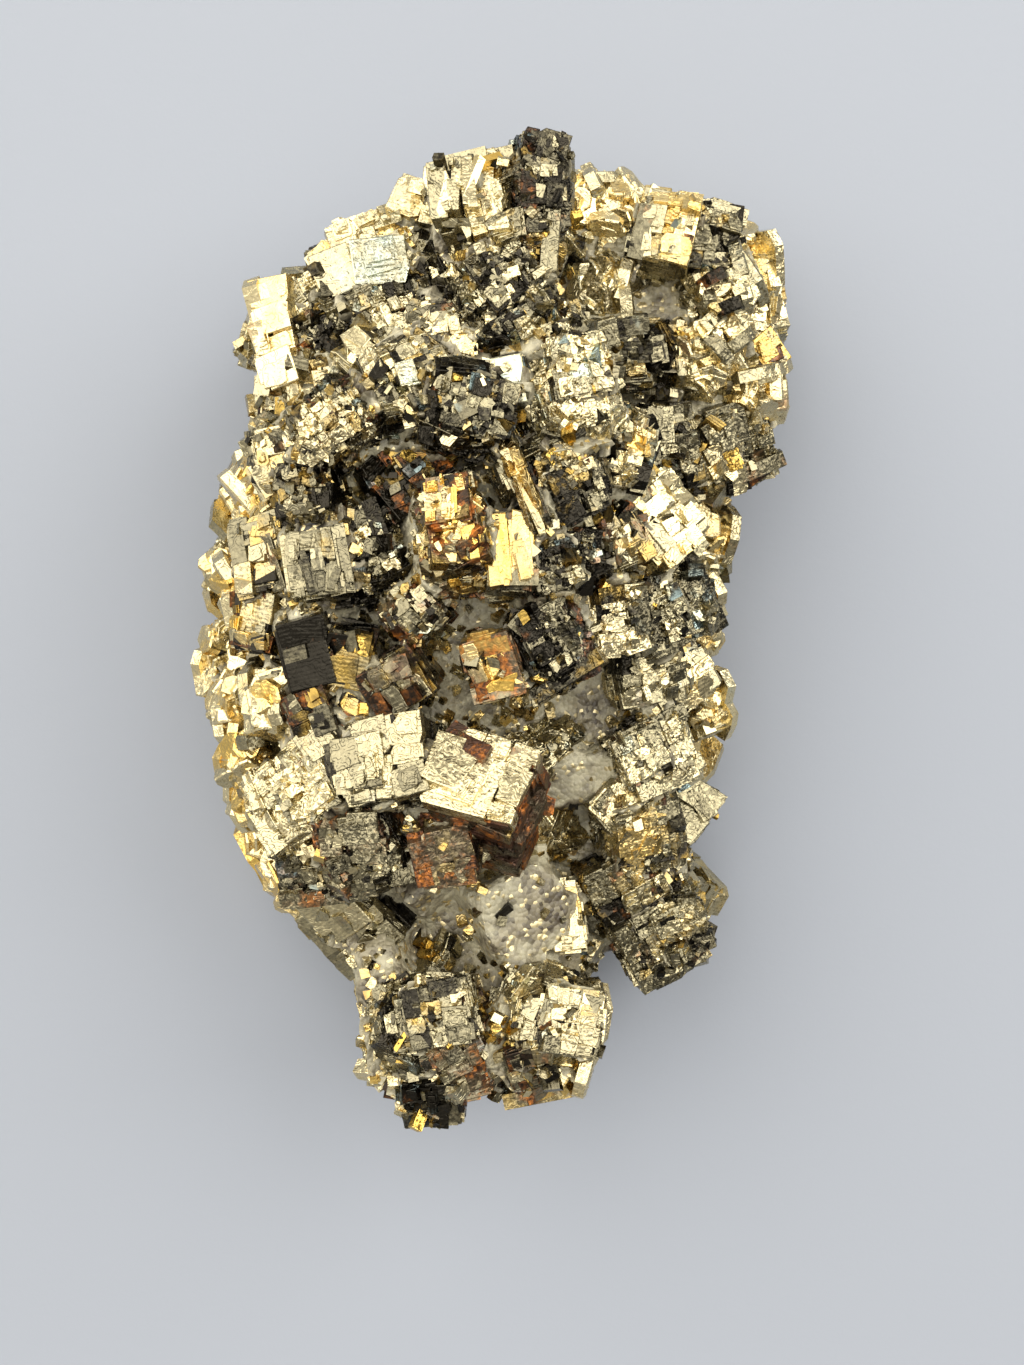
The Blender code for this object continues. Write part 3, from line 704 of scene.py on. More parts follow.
def cut_up(rng, low_u, high_u, low_v, high_v, cell, stretch):
    """Cuts a rectangle into uneven smaller ones, no wider than about a cell."""
    done = []
    waiting = [(low_u, high_u, low_v, high_v)]
    while waiting:
        a, b, c, d = waiting.pop()
        wide = (b - a) / stretch
        tall = (d - c) * stretch
        if max(wide, tall) < cell * rng.uniform(0.8, 1.7):
            done.append((a, b, c, d))
            continue
        share = rng.uniform(0.3, 0.7)
        if wide > tall:
            middle = a + (b - a) * share
            waiting += [(a, middle, c, d), (middle, b, c, d)]
        else:
            middle = c + (d - c) * share
            waiting += [(a, b, c, middle), (a, b, middle, d)]
    return done


def rotation(about_x, about_y, about_z):
    """A small turn as a 3 by 3 array: about z first, then y, then x."""
    turn = Matrix.Rotation(about_x, 3, "X") @ Matrix.Rotation(about_y, 3, "Y")
    return np.array(turn @ Matrix.Rotation(about_z, 3, "Z"))


def add_block(blocks, crystal, frame_of_face, at, half, slope, spin, shape, finish):
    """Adds one block: at is its top's middle on the face, slope how far its top is tipped both ways."""
    u, v, axis, sign, flip = frame_of_face
    base = np.zeros((3, 3))
    base[u, 0], base[v, 1], base[axis, 2] = flip, 1, sign
    turn = crystal.turn @ base @ rotation(slope[1], -slope[0] * flip, spin)
    top = np.zeros(3)
    top[u], top[v], top[axis] = at[0], at[1], sign * at[2]
    top = crystal.middle + crystal.turn @ top
    middle = top - turn[:, 2] * half[2]
    under = top - turn[:, 2] * PROBE_DEPTH
    blocks.append((middle, under, turn, half, (flip * at[0], at[1], at[2]), finish, shape))


def face_blocks(rng, crystal, axis, sign, sizes, blocks):
    """The plates that make one face of a crystal, each stepped like a terrace or broken into small blocks."""
    u, v = ((1, 2), (0, 2), (0, 1))[axis]
    flip = -sign if axis == 1 else sign
    face = (u, v, axis, sign, flip)
    half, look = crystal.half, crystal.look
    power = look["power"]
    up = (crystal.turn[:, axis] * sign)[2]
    side = axis != 2
    # Faces that look sideways or down are made of larger blocks
    coarse = 1.0 if up > 0.2 else 1.35 if up > LOOKS_DOWN else 2.6
    # Side faces take their own tone, mostly darker than the top's as painted shade
    tone = look.get("side_tone", look["tone"]) if side else look["tone"]
    rust = look.get("side_rust", look["rust"]) if side else look["rust"]
    tint = look["tint"] * 0.4 if side else look["tint"]
    # Broken-up crystals have more small blocks and fewer whole terraces
    loose = look["grit"]
    cover = look.get("cover", 0.3 + 0.6 * loose)
    terraced = look.get("terraced", 0.8 - 0.5 * loose)
    # Layers run level round the sides
    stretch = 1.9 if side else look["stretch"]
    step = sizes.step / MM
    for plate in cut_up(rng, -half[u], half[u], -half[v], half[v], look["plate"] * coarse, stretch**0.5):
        low_u, high_u, low_v, high_v = plate
        middle_u, middle_v = (low_u + high_u) / 2, (low_v + high_v) / 2
        wide, tall = (high_u - low_u) / 2, (high_v - low_v) / 2
        lift = rng.choice((-0.3, -0.1, 0.0, 0.1, 0.25)) * sizes.relief
        if look["clean"] and not side:
            lift = abs(lift)
        tip = rng.normal(0, sizes.plate_tip, 2)
        uneven = 0.12 if look["clean"] else 0.22
        plate_finish = np.array((tone, rust, tint, look["grit"])) + rng.normal(0, (uneven, 0.12, uneven, 0.0))
        drop, slope = rounded_drop(half, u, v, axis, power, middle_u, middle_v)
        if look["scales"]:
            # Rounded flat scales that overlap like a fish's
            for _ in range(2 if drop is not None else 0):
                shift = rng.uniform(-0.6, 0.6, 2)
                at = (middle_u + shift[0] * wide, middle_v + shift[1] * tall)
                at = (*at, half[axis] - drop + slope @ (shift * (wide, tall)) + rng.uniform(0.0, 0.3))
                width = (wide + tall) / 2
                size = (*((wide, tall) * rng.uniform(0.3, 0.6, 2) + width * 0.7), 0.5)
                leaning = 0.9 * slope + rng.normal(0, 0.15, 2)
                shape = rng.integers(PLATE_SHAPES + CELL_SHAPES, PLATE_SHAPES + CELL_SHAPES + SCALE_SHAPES)
                finish = plate_finish + rng.normal((0.12, 0, 0, 0.15), (0.1, 0.0, 0.12, 0.0))
                add_block(blocks, crystal, face, at, size, leaning, rng.uniform(-0.6, 0.6), shape, finish)
            continue
        if drop is not None:
            height = half[axis] - drop + lift
            at = (middle_u, middle_v, height)
            spread = 0.95 if look["clean"] and side else rng.uniform(1.0, 1.12)
            leaning = 0.8 * slope + tip
            size = (wide * spread, tall * spread, sizes.depth / MM / 2)
            shape = rng.integers(0, PLATE_SHAPES)
            add_block(blocks, crystal, face, at, size, leaning, rng.normal(0, 0.12), shape, plate_finish)
            if rng.random() < terraced and up > LOOKS_DOWN:
                # Thinner plates stacked on it, each smaller and pushed to one side
                away = rng.uniform(-1, 1, 2)
                share = 1.0
                for _ in range(rng.integers(1, 4)):
                    smaller = rng.uniform(0.62, 0.88)
                    at = (
                        at[0] + away[0] * wide * share * (1 - smaller),
                        at[1] + away[1] * tall * share * (1 - smaller),
                        at[2] + rng.uniform(0.09, 0.2),
                    )
                    share *= smaller
                    size = (wide * share, tall * share, 0.3)
                    leaning = leaning + rng.normal(0, 0.02, 2)
                    finish = plate_finish + (rng.normal(0, 0.12), 0, 0, 0)
                    shape = rng.integers(0, PLATE_SHAPES)
                    add_block(blocks, crystal, face, at, size, leaning, rng.normal(0, 0.15), shape, finish)
                continue
        plate_cell = look["cell"] * coarse * rng.choice((0.7, 1.0, 1.0, 1.5)) * sizes.cell / (USUAL_CELL * MM)
        for low_u, high_u, low_v, high_v in cut_up(rng, *plate, plate_cell, stretch**0.5):
            at_u, at_v = (low_u + high_u) / 2, (low_v + high_v) / 2
            drop, slope = rounded_drop(half, u, v, axis, power, at_u, at_v)
            if drop is None or (up > LOOKS_DOWN and rng.random() > cover):
                continue
            height = half[axis] - round(drop / step) * step + lift + abs(rng.normal(0.05, 0.08))
            height += tip[0] * (at_u - middle_u) + tip[1] * (at_v - middle_v)
            if rng.random() < 0.06:
                height += rng.uniform(0.1, 0.35)
            at = (at_u, at_v, height)
            spread = rng.uniform(0.5, 0.62, 2)
            size = ((high_u - low_u) * spread[0], (high_v - low_v) * spread[1], sizes.depth / MM / 2)
            leaning = 0.5 * slope + tip + rng.normal(0, sizes.cell_tip * (0.5 + 3 * loose), 2)
            finish = plate_finish + rng.normal(0, (look["contrast"], 0.08, 0.1, 0.0))
            finish = finish - (0, 0, 0, 0.6 * loose * rng.random())
            shape = rng.integers(PLATE_SHAPES, PLATE_SHAPES + CELL_SHAPES)
            spin = rng.normal(0, 0.08 + 0.7 * loose**2)
            add_block(blocks, crystal, face, at, size, leaning, spin, shape, finish)


def rounded_drop(half, u, v, axis, power, at_u, at_v):
    """How far a boxy rounded crystal's face has dropped at a place, and its slope there both ways."""
    share_u, share_v = abs(at_u) / half[u], abs(at_v) / half[v]
    left = 1 - share_u**power - share_v**power
    if left < FACE_EDGE:
        return None, None
    slope = half[axis] * left ** (1 / power - 1)
    slope_u = -slope * share_u ** (power - 1) / half[u] * np.sign(at_u)
    slope_v = -slope * share_v ** (power - 1) / half[v] * np.sign(at_v)
    return half[axis] * (1 - left ** (1 / power)), np.clip((slope_u, slope_v), -1, 1)


def into_box(block):
    """Pushes a block back as far as it reaches out of the solid's box or under the resting face."""
    middle, under, turn, half, place, finish, shape = block
    reach = np.abs(turn) @ (np.array(half) * 1.1)
    low = (np.array(CAD_BOX[0]) - BLOCK_ALLOWANCE) / MM + reach
    high = (np.array(CAD_BOX[1]) + BLOCK_ALLOWANCE) / MM - reach
    low[2] = 0.05 + reach[2]
    return np.clip(middle, low, high), under, turn, half, place, finish, shape


def hollowness(points, normals, crystals):
    """How deep in a hollow points lie: the share of short lines out of each one that end in a crystal."""
    first = np.cross(normals, (0.31, 0.67, 0.52))
    first /= np.linalg.norm(first, axis=1)[:, None]
    second = np.cross(normals, first)
    ends = []
    for turn in np.arange(6) * math.pi / 3:
        way = normals + HOLLOW_SPREAD * (math.cos(turn) * first + math.sin(turn) * second)
        way /= np.linalg.norm(way, axis=1)[:, None]
        ends += [points + length * way for length in HOLLOW_LENGTHS]
    ends = np.stack(ends, axis=1)
    blocked = np.zeros(ends.shape[:2], bool)
    for crystal in crystals:
        reach = crystal.half.max() * CORNER_REACH + HOLLOW_LENGTHS[-1]
        rows = np.flatnonzero(np.abs(points - crystal.middle).max(axis=1) < reach)
        blocked[rows] |= crystal.inside(ends[rows].reshape(-1, 3), 0.1).reshape(-1, ends.shape[1])
    return blocked.mean(axis=1)


def painted_shade_in_hollows(blocks, crystals, sizes):
    """The same blocks, with painted shade darkening them in the hollows, and a little more rust and a more golden
    tint there.
    """
    points = np.array([block[0] + block[2][:, 2] * block[3][2] for block in blocks])
    normals = np.array([block[2][:, 2] for block in blocks])
    deep = sizes.hollow_shade_and_rust * np.clip(hollowness(points, normals, crystals) - 0.15, 0, 1)
    done = []
    for block, share in zip(blocks, deep):
        # Painted shade: the tone drops in the hollows, where shade falls; the rust added there is a real stain
        # and the golden tint is painted reflection from the crystals around
        finish = np.array(block[5]) + share * np.array((-1.5, 0.2, -0.3, 0.0))
        done.append((*block[:5], finish, block[6]))
    return done


def visible_blocks(crystal_list, others, sizes, rng):
    """The blocks of these crystals that aren't buried in other crystals or in the body."""
    blocks = []
    owner = []
    for crystal in crystal_list:
        if crystal.look["stone"]:
            continue
        before = len(blocks)
        for axis in range(3):
            for sign in (-1, 1):
                if axis == 2 and sign < 0 and crystal.half[2] > 1.9:
                    continue
                face_blocks(rng, crystal, axis, sign, sizes, blocks)
        owner += [id(crystal)] * (len(blocks) - before)
    owner = np.array(owner)
    tops = np.array([block[1] for block in blocks])
    keep = tops[:, 2] > 0.25
    for other in others:
        close = np.abs(tops - other.middle).max(axis=1) < other.half.max() * 1.8
        close &= keep & (owner != id(other))
        chosen = np.flatnonzero(close)
        keep[chosen[other.inside(tops[chosen], BURIED_DEPTH)]] = False
    for x, y, z, *half in BODY:
        share = (tops - (np.array((x, y, z)) - MIDDLE)) / (np.array(half) - 0.5)
        keep &= (share**2).sum(axis=1) > 1
    return [into_box(block) for block, kept in zip(blocks, keep) if kept]


def linear(hex_colour):
    """A hex sRGB colour as linear red, green, blue and alpha."""
    parts = [int(hex_colour[i : i + 2], 16) / 255 for i in (1, 3, 5)]
    return (*(part / 12.92 if part <= 0.04045 else ((part + 0.055) / 1.055) ** 2.4 for part in parts), 1.0)


def add_node(tree, kind, inputs=None, **settings):
    """Adds a node with its settings, and gives each named or numbered input a value or a link."""
    node = tree.nodes.new(kind)
    for name, value in settings.items():
        setattr(node, name, value)
    for name, value in (inputs or {}).items():
        if isinstance(value, bpy.types.NodeSocket):
            tree.links.new(value, node.inputs[name])
        else:
            node.inputs[name].default_value = value
    return node


def maths(tree, operation, *values):
    """The result of a maths node."""
    return add_node(tree, "ShaderNodeMath", dict(enumerate(values)), operation=operation).outputs[0]


def vector_maths(tree, operation, *values):
    """The vector that a vector maths node gives."""
    return add_node(tree, "ShaderNodeVectorMath", dict(enumerate(values)), operation=operation).outputs[0]


def ranged(tree, value, low=0.0, high=1.0, to_low=0.0, to_high=1.0, **settings):
    """A value moved from one range to another and kept within it."""
    inputs = {"Value": value, "From Min": low, "From Max": high, "To Min": to_low, "To Max": to_high}
    return add_node(tree, "ShaderNodeMapRange", inputs, **settings).outputs[0]


def mixed(tree, share, first, second):
    """One colour mixed with a share of another."""
    inputs = {0: share, COLOUR_A: first, COLOUR_B: second}
    return add_node(tree, "ShaderNodeMix", inputs, data_type="RGBA").outputs[COLOUR_OUT]


def noise_field(tree, place, width, detail, roughness=0.5):
    """Noise with features about so wide."""
    inputs = {"Vector": place, "Scale": 1 / width, "Detail": detail, "Roughness": roughness}
    return add_node(tree, "ShaderNodeTexNoise", inputs).outputs["Fac"]


def bumped(tree, height, strength, distance, normal=None, **settings):
    """The normal of a surface with a relief, on top of another normal if one is given."""
    inputs = {"Height": height, "Strength": strength, "Distance": distance}
    if normal is not None:
        inputs["Normal"] = normal
    return add_node(tree, "ShaderNodeBump", inputs, **settings).outputs["Normal"]


def stored(tree, name, kind):
    """What the points of a tree's input store under a name."""
    node = add_node(tree, "GeometryNodeInputNamedAttribute", {"Name": name}, data_type=kind)
    return node.outputs[0]


def new_material(name):
    """An empty node material and its tree, with a Principled shader already on the output."""
    material = bpy.data.materials.new(name)
    material.use_nodes = True
    tree = material.node_tree
    tree.nodes.clear()
    shader = add_node(tree, "ShaderNodeBsdfPrincipled")
    add_node(tree, "ShaderNodeOutputMaterial", {"Surface": shader.outputs["BSDF"]})
    return material, tree, shader


def attribute(tree, name, output):
    """What the piece stores under a name."""
    node = add_node(tree, "ShaderNodeAttribute", attribute_type="GEOMETRY", attribute_name=name)
    return node.outputs[output]


def pyrite_material(colours, sizes):
    """Natural pyrite: pale brass-yellow metal, bright on clean growth faces, rusty or with a film on others.

    Growth leaves fine parallel grooves and a mosaic of tiny faces turned a few degrees from each other, so
    each face breaks into many separate glints.
    """
    material, tree, shader = new_material("pyrite_natural_growth_faces")
    place = attribute(tree, "crystal_place", "Vector")
    tone = attribute(tree, "tone", "Fac")
    rust = attribute(tree, "rust", "Fac")
    tint = attribute(tree, "tint", "Fac")
    grit = attribute(tree, "grit", "Fac")
    patches = noise_field(tree, place, 2.2 * MM, 4.0, 0.6)
    specks = noise_field(tree, place, 0.35 * MM, 3.0, 0.7)

    # Clean faces are bright brass, duller ones olive and the dullest almost black; the darker steps are partly
    # real dullness and partly painted shade and painted dark reflection
    speckled = maths(tree, "MULTIPLY_ADD", specks, 0.6, -0.3)
    level = maths(tree, "ADD", tone, speckled)
    brass = linear(colours.shadow)
    for low, high, paler in ((-0.75, -0.15, colours.olive), (-0.15, 0.45, colours.brass)):
        share = ranged(tree, level, low, high)
        brass = mixed(tree, share, brass, linear(paler))
    # Iron hydroxide stains the faces red-brown, and orange where it is thin
    reach = maths(tree, "MULTIPLY_ADD", patches, 1.4, -0.9)
    reach = maths(tree, "ADD", rust, reach)
    rusted = ranged(tree, reach, 0.15, 0.6)
    thin = maths(tree, "MULTIPLY_ADD", patches, 1.2, specks)
    thin = ranged(tree, thin, 1.12, 1.45)
    stain = mixed(tree, thin, linear(colours.rust), linear(colours.rust_thin))
    stained = mixed(tree, rusted, brass, stain)
    # A thin oxide film turns some faces golden orange and others pale blue-green; these tints are partly painted
    # reflection, golden from the crystals around and pale blue from above
    wander = maths(tree, "MULTIPLY_ADD", patches, 1.6, -0.8)
    film = maths(tree, "ADD", tint, wander)
    colour = stained
    for start, full, most, shade in ((-0.35, -1.0, 0.85, colours.gold), (0.4, 0.95, 0.65, colours.film)):
        share = ranged(tree, film, start, full, to_high=most)
        colour = mixed(tree, share, colour, linear(shade))

    # Tiny faces, each turned its own way, by adding a random step to the normal in every cell
    turned = add_node(tree, "ShaderNodeNewGeometry").outputs["Normal"]
    for width, tilt in ((sizes.facet, 0.35), (sizes.facet * 0.5, 0.4)):
        cells = add_node(tree, "ShaderNodeTexVoronoi", {"Vector": place, "Scale": 1 / width}, feature="F1")
        centred = vector_maths(tree, "SUBTRACT", cells.outputs["Color"], (0.5, 0.5, 0.5))
        amount = maths(tree, "MULTIPLY", grit, tilt)
        step = add_node(tree, "ShaderNodeVectorMath", {0: centred, "Scale": amount}, operation="SCALE").outputs[0]
        turned = vector_maths(tree, "ADD", turned, step)
    turned = vector_maths(tree, "NORMALIZE", turned)

    # Growth layers end in thin wandering steps, like contour lines on a map
    hills = noise_field(tree, place, 1.5 * MM, 2.0, 0.5)
    levels = maths(tree, "MULTIPLY", hills, 14.0)
    whole = maths(tree, "FLOOR", levels)
    part = maths(tree, "FRACT", levels)
    edge = ranged(tree, part, high=0.3, interpolation_type="SMOOTHSTEP")
    terraces = maths(tree, "ADD", whole, edge)
    relief = ranged(tree, grit, to_low=0.12, to_high=0.9)
    stepped = bumped(tree, terraces, relief, 0.00006, turned)
    # Growth grooves run level along each plate
    wavy = add_node(
        tree,
        "ShaderNodeTexWave",
        {"Vector": place, "Scale": 0.314 / sizes.groove, "Distortion": 2.5, "Detail": 2.0, "Detail Scale": 1.5},
        bands_direction="Y",
    ).outputs["Fac"]
    grooved = bumped(tree, wavy, 0.2, 0.00003, stepped)
    rough_skin = bumped(tree, specks, relief, 0.00003, grooved)

    dull = ranged(tree, specks, 0.3, 0.7, 0.16, 0.36)
    dull = maths(tree, "MULTIPLY_ADD", rusted, 0.12, dull)
    metal = maths(tree, "MULTIPLY_ADD", rusted, -0.3, 1.0)
    tree.links.new(colour, shader.inputs["Base Color"])
    tree.links.new(dull, shader.inputs["Roughness"])
    tree.links.new(metal, shader.inputs["Metallic"])
    tree.links.new(rough_skin, shader.inputs["Normal"])
    return material


def matrix_material(colours, sizes):
    """The matrix between the crystals: sugary grey-white quartz and clay with specks of pyrite in it.

    Broken rock gives a dull, grainy surface. Under the crystals the same piece is painted dark, as shade in the
    gaps between their blocks.
    """
    material, tree, shader = new_material("quartz_matrix_broken")
    place = add_node(tree, "ShaderNodeTexCoord").outputs["Object"]
    stone = attribute(tree, "stone", "Fac")
    clouds = noise_field(tree, place, 4 * MM, 5.0, 0.65)
    grains = add_node(tree, "ShaderNodeTexVoronoi", {"Vector": place, "Scale": 1 / sizes.grain}, feature="F1")
    shade = add_node(tree, "ShaderNodeSeparateColor", {0: grains.outputs["Color"]}).outputs[0]
    lightness = maths(tree, "MULTIPLY_ADD", shade, 0.25, clouds)
    lightness = ranged(tree, lightness, 0.46, 0.72)
    grey = mixed(tree, lightness, linear(colours.matrix_dark), linear(colours.matrix))
    # Paler seams of quartz wander through it
    seams = noise_field(tree, place, 6 * MM, 3.0, 0.6)
    seams = maths(tree, "SUBTRACT", seams, 0.5)
    seams = maths(tree, "ABSOLUTE", seams)
    seams = ranged(tree, seams, high=0.1, to_low=0.4, to_high=0.0)
    grey = mixed(tree, seams, grey, linear(colours.seam))
    # Painted shade: where crystals cover the matrix it takes the dark under colour, seen in the gaps between
    # their blocks
    colour = mixed(tree, stone, linear(colours.under), grey)
    speck = maths(tree, "GREATER_THAN", shade, 0.9)
    speckled = mixed(tree, speck, colour, linear(colours.brass))
    bumps = bumped(tree, grains.outputs["Distance"], 0.55, 0.0002, invert=True)
    tree.links.new(speckled, shader.inputs["Base Color"])
    tree.links.new(speck, shader.inputs["Metallic"])
    tree.links.new(bumps, shader.inputs["Normal"])
    shader.inputs["Roughness"].default_value = 0.5
    return material


def floor_material(colours):
    """Matt coated paper: an even pale grey with a faint tooth."""
    material, tree, shader = new_material("matt_backdrop_paper")
    place = add_node(tree, "ShaderNodeTexCoord").outputs["Object"]
    tooth = noise_field(tree, place, 0.8 * MM, 3.0)
    bump = bumped(tree, tooth, 0.15, 0.0001)
    tree.links.new(bump, shader.inputs["Normal"])
    shader.inputs["Base Color"].default_value = linear(colours.floor)
    shader.inputs["Roughness"].default_value = 0.85
    return material


def new_object(name, mesh, material=None):
    """Links a mesh as an object of its own, with a material if one is given."""
    obj = bpy.data.objects.new(name, mesh)
    bpy.context.scene.collection.objects.link(obj)
    if material:
        mesh.materials.append(material)
    return obj


def cut_square(rng):
    """The outline of a small block: a slightly skewed square from -1 to 1 with up to two corners cut."""
    outline = []
    cuts = rng.choice(4, size=rng.choice((0, 1, 1, 2, 2)), replace=False)
    skew = rng.uniform(-0.22, 0.22, 2)
    for corner, (x, y) in enumerate(((-1, -1), (1, -1), (1, 1), (-1, 1))):
        if corner in cuts:
            back = rng.uniform(0.35, 0.9)
            on = rng.uniform(0.35, 0.9)
            first = (x - x * back, y) if corner % 2 else (x, y - y * back)
            second = (x, y - y * on) if corner % 2 else (x - x * on, y)
            outline += [first, second]
        else:
            outline.append((x, y))
    return [(x + skew[0] * y, y + skew[1] * x) for x, y in outline]


def stepped_square(rng):
    """The outline of a growth plate: a square with stepped corners, as the layers of pyrite end in steps."""
    outline = []
    for corner, (x, y) in enumerate(((-1, -1), (1, -1), (1, 1), (-1, 1))):
        in_x, in_y = rng.uniform(0.12, 0.75, 2) * rng.choice((0.3, 1.0))
        ends = [(x - x * in_x, y), (x, y - y * in_y)]
        if corner % 2 == 0:
            ends.reverse()
        style = rng.choice(("whole", "cut", "step", "step"))
        if style == "whole":
            outline.append((x, y))
        elif style == "cut":
            outline += ends
        else:
            outline += [ends[0], (x - x * in_x, y - y * in_y), ends[1]]
    return [(x + rng.uniform(-0.05, 0.05), y + rng.uniform(-0.05, 0.05)) for x, y in outline]


def rounded(rng):
    """The outline of a scale: an uneven, lopsided round."""
    turns = [(i + rng.uniform(-0.3, 0.3)) * 2 * math.pi / 9 for i in range(9)]
    reaches = rng.uniform(0.78, 1.12, 9)
    return [(math.cos(turn) * reach, math.sin(turn) * reach) for turn, reach in zip(turns, reaches)]


def block_mesh(name, outline, levels, lean):
    """A closed block from -1 to 1 with a slightly tipped top; levels are its rings' heights and widths."""
    rings = []
    for level, share in levels:
        tipped = [0 if level < 0 else lean[0] * x + lean[1] * y for x, y in outline]
        rings.append([(x * share, y * share, level + rise) for (x, y), rise in zip(outline, tipped)])
    bm = bmesh.new()
    rows = [[bm.verts.new(point) for point in ring] for ring in rings]
    bm.faces.new(list(reversed(rows[0])))
    bm.faces.new(rows[-1])
    for lower, upper in zip(rows, rows[1:]):
        for i in range(len(outline)):
            after = (i + 1) % len(outline)
            bm.faces.new((lower[i], lower[after], upper[after], upper[i]))
    bmesh.ops.recalc_face_normals(bm, faces=bm.faces)
    mesh = bpy.data.meshes.new(name)
    bm.to_mesh(mesh)
    bm.free()
    return mesh


def block_shapes():
    """The block shapes that the trees pick from: plates, then small sharp blocks, then rounded scales."""
    rng = np.random.default_rng(5)
    collection = bpy.data.collections.new("block_shapes")
    kinds = (
        (PLATE_SHAPES, stepped_square, ((-1.0, 1.0), (0.92, 1.0), (1.0, 0.95))),
        (CELL_SHAPES, cut_square, ((-1.0, 1.0), (1.0, 0.94))),
        (SCALE_SHAPES, rounded, ((-1.0, 1.0), (0.7, 1.0), (1.0, 0.9))),
    )
    for count, outline, levels in kinds:
        for _ in range(count):
            name = f"block_{len(collection.objects):02d}"
            mesh = block_mesh(name, outline(rng), levels, rng.uniform(-0.08, 0.08, 2))
            collection.objects.link(bpy.data.objects.new(name, mesh))
    return collection


def remove_shapes(collection):
    """Deletes the block shapes once every piece has its own copy."""
    for obj in list(collection.objects):
        mesh = obj.data
        bpy.data.objects.remove(obj)
        bpy.data.meshes.remove(mesh)
    bpy.data.collections.remove(collection)


def mosaic_tree():
    """Stands a block on every point, with the turn, size and shape that the point stores."""
    tree = bpy.data.node_groups.new("crystal_mosaic", "GeometryNodeTree")
    face = tree.interface
    face.new_socket("Geometry", in_out="INPUT", socket_type="NodeSocketGeometry")
    face.new_socket("Block Shapes", in_out="INPUT", socket_type="NodeSocketCollection")
    face.new_socket("Block Scale", in_out="INPUT", socket_type="NodeSocketFloat")
    face.new_socket("Finish", in_out="INPUT", socket_type="NodeSocketMaterial")
    face.new_socket("Geometry", in_out="OUTPUT", socket_type="NodeSocketGeometry")
    given = add_node(tree, "NodeGroupInput").outputs
    shapes = add_node(
        tree,
        "GeometryNodeCollectionInfo",
        {"Collection": given["Block Shapes"], "Separate Children": True, "Reset Children": True},
    ).outputs[0]
    turn, size, shape = (
        stored(tree, name, kind)
        for name, kind in (("turn", "QUATERNION"), ("size", "FLOAT_VECTOR"), ("shape", "INT"))
    )
    at = add_node(tree, "GeometryNodeInputPosition").outputs[0]
    kept = add_node(
        tree,
        "GeometryNodeStoreNamedAttribute",
        {"Geometry": given["Geometry"], "Name": "block_middle", "Value": at},
        data_type="FLOAT_VECTOR",
        domain="POINT",
    ).outputs[0]
    scale = add_node(
        tree, "ShaderNodeVectorMath", {0: size, "Scale": given["Block Scale"]}, operation="SCALE"
    ).outputs[0]
    blocks = add_node(
        tree,
        "GeometryNodeInstanceOnPoints",
        {
            "Points": kept,
            "Instance": shapes,
            "Pick Instance": True,
            "Instance Index": shape,
            "Rotation": turn,
            "Scale": scale,
        },
    ).outputs[0]
    solid = add_node(tree, "GeometryNodeRealizeInstances", {"Geometry": blocks}).outputs[0]
    # Each corner's place along its block's own axes, carried on from where the block stands on its crystal
    middle = stored(tree, "block_middle", "FLOAT_VECTOR")
    stands = stored(tree, "stands_at", "FLOAT_VECTOR")
    offset = vector_maths(tree, "SUBTRACT", at, middle)
    unturn = add_node(tree, "FunctionNodeInvertRotation", {0: turn}).outputs[0]
    own = add_node(tree, "FunctionNodeRotateVector", {0: offset, 1: unturn}).outputs[0]
    along = vector_maths(tree, "ADD", own, stands)
    placed = add_node(
        tree,
        "GeometryNodeStoreNamedAttribute",
        {"Geometry": solid, "Name": "crystal_place", "Value": along},
        data_type="FLOAT_VECTOR",
        domain="POINT",
    ).outputs[0]
    finished = add_node(
        tree, "GeometryNodeSetMaterial", {"Geometry": placed, "Material": given["Finish"]}
    ).outputs[0]
    add_node(tree, "NodeGroupOutput", {0: finished})
    return tree


